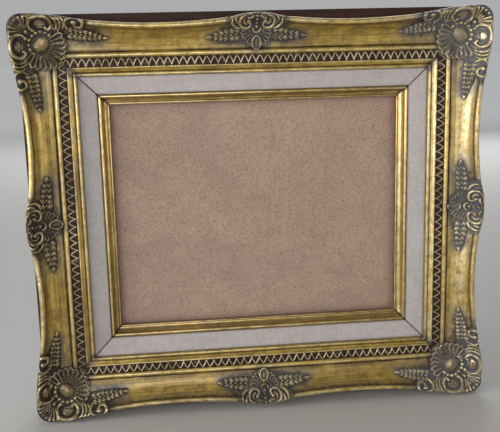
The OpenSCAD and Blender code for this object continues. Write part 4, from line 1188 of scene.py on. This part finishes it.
# ---------------------------------------------------------------- CAD nodes that stay
def dress(node, mat, body="frame", width=None, seg=3):
    """Finish for a piece whose shape is the construction's. With a width, a softened copy stands in for it."""
    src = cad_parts[node]
    if not width:
        if not src.material_slots:
            src.data.materials.append(mat)
        for sl in src.material_slots:
            sl.material = mat
        return
    bpy.context.view_layer.update()
    me = src.data.copy()
    me.name = node + "_finished"
    me.transform(src.matrix_world)
    me.materials.clear()
    me.materials.append(mat)
    ob = bpy.data.objects.new(node + "_finished", me)
    bpy.context.scene.collection.objects.link(ob)
    bv = ob.modifiers.new("edge", "BEVEL")
    bv.width = width * 0.001
    bv.segments = seg
    bv.limit_method = "ANGLE"
    bv.angle_limit = math.radians(35)
    bv.use_clamp_overlap = True
    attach(ob, body)
    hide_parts(node)


for sd in SIDES:
    up = sd in ("left", "right")
    dress("back_bar_" + sd, DARK_Z if up else DARK_X, width=0.35)
    dress("liner_rail_" + sd, RAW_Z if up else RAW_X)
for n in ("liner_vnails", "joint_fasteners"):
    dress(n, STEEL)
for n in ("button_screws", "hanger_screws"):
    dress(n, STEEL, width=0.12, seg=2)
for s in ("tl", "tr", "bl", "br", "l", "r"):
    dress("turn_button_" + s, BRASS, "turn_button_" + s, width=0.3)
for s in ("left", "right"):
    dress("hanger_strap_" + s, ZINC, width=0.15)
    dress("hanger_ring_" + s, ZINC)
for s in ("tl", "tr", "bl", "br"):
    dress("wall_pad_" + s, FELT, width=0.8, seg=4)


# ---------------------------------------------------------------- floor, light, camera
def stage_floor():
    z = -LY * 0.001 - 0.0002
    bpy.ops.mesh.primitive_plane_add(size=60.0, location=(0, 0, z))
    fl = bpy.context.object
    fl.name = "floor"
    g = Nodes("floor_pale")
    ob = g.coords()
    ln = g.n("ShaderNodeVectorMath")
    ln.operation = "LENGTH"
    g.link(ob, ln.inputs[0])
    # far out the floor is paler and glows a little (emission), so that it fades into the world
    far = g.remap(ln.outputs["Value"], 0.5, 3.2, 0.0, 1.0, soft=True)
    c = g.mix(far, (0.56, 0.555, 0.545), (0.86, 0.86, 0.855))
    c = g.mix(g.remap(g.noise(ob, 3.0, 3.0), 0.3, 0.7, 0.0, 0.06), c, (0.5, 0.5, 0.49))
    g.done(c, 0.85, None, 0.0, 0.2)
    g.link(g.remap(ln.outputs["Value"], 0.7, 3.4, 0.0, 0.23, soft=True), g.bsdf.inputs["Emission Strength"])
    g.bsdf.inputs["Emission Color"].default_value = (0.93, 0.94, 0.96, 1)
    fl.data.materials.append(g.mat)


stage_floor()


def area(name, loc, target, size, power, color=(1, 1, 1), size_y=None):
    d = bpy.data.lights.new(name, "AREA")
    d.energy = power
    d.color = color
    d.size = size
    if size_y:
        d.shape = "RECTANGLE"
        d.size_y = size_y
    ob = bpy.data.objects.new(name, d)
    bpy.context.scene.collection.objects.link(ob)
    from mathutils import Vector

    v = Vector(target) - Vector(loc)
    ob.location = loc
    ob.rotation_euler = v.to_track_quat("-Z", "Y").to_euler()
    return ob


area("window_left", (-1.55, -0.50, 0.36), (0, 0, 0), 0.62, 9.5, (1.0, 0.985, 0.955), 0.9)
area("window_wide", (-1.40, -0.90, 0.20), (0, 0, 0), 1.5, 12.5, (1.0, 0.985, 0.95), 1.0)
area("window_edge", (-1.20, -1.00, 0.05), (0, 0, 0), 0.22, 2.5, (1.0, 0.985, 0.95), 0.9)
area("front_fill", (-0.30, -1.9, 0.30), (0, 0, 0.02), 1.0, 11.5, (0.985, 0.985, 1.0))
area("right_low", (1.3, -0.9, 0.15), (0, 0, 0), 0.6, 3.6, (1.0, 0.95, 0.86))
area("top_soft", (-0.1, -0.25, 1.6), (0, 0, 0), 0.9, 1.6, (1.0, 0.99, 0.97))
area("back_soft", (0.4, 1.8, 0.9), (0, 0, 0), 1.3, 16.0, (1, 1, 1))

world = bpy.data.worlds.new("pale")
bpy.context.scene.world = world
world.use_nodes = True
wt = world.node_tree
bg = wt.nodes["Background"]
wc = wt.nodes.new("ShaderNodeTexCoord")
ws = wt.nodes.new("ShaderNodeSeparateXYZ")
wr = wt.nodes.new("ShaderNodeMapRange")
wr.interpolation_type = "SMOOTHSTEP"
wr.inputs["From Min"].default_value = -0.35
wr.inputs["From Max"].default_value = 0.55
wr.inputs["To Min"].default_value = 0.11
wr.inputs["To Max"].default_value = 0.44
wt.links.new(wc.outputs["Generated"], ws.inputs[0])
wt.links.new(ws.outputs["Y"], wr.inputs["Value"])
wt.links.new(wr.outputs[0], bg.inputs[1])
bg.inputs[0].default_value = (0.93, 0.94, 0.96, 1)
bpy.context.scene.view_settings.view_transform = "Standard"

from mathutils import Matrix

# camera: 81 mm left and 135 mm above the middle, 669 mm in front, looking down and to the right
right = (0.9932627, -0.1132600, -0.0245216)
up = (0.0464318, 0.1950858, 0.9796865)
back = (-0.1061755, -0.9742247, 0.1990303)
pos = (-0.0807, -0.6688, 0.1347)
cam = bpy.data.cameras.new("camera")
cam.sensor_width = 36.0
cam.sensor_fit = "HORIZONTAL"
cam.lens = 812.9 / 500 * 36.0
cam.clip_start = 0.01
cam_ob = bpy.data.objects.new("camera", cam)
bpy.context.scene.collection.objects.link(cam_ob)
mw = Matrix.Identity(4)
for r in range(3):
    mw[r][0], mw[r][1], mw[r][2], mw[r][3] = right[r], up[r], back[r], pos[r]
q = mw.to_quaternion().normalized()
cam_ob.matrix_world = Matrix.Translation(pos) @ q.to_matrix().to_4x4()
bpy.context.scene.camera = cam_ob
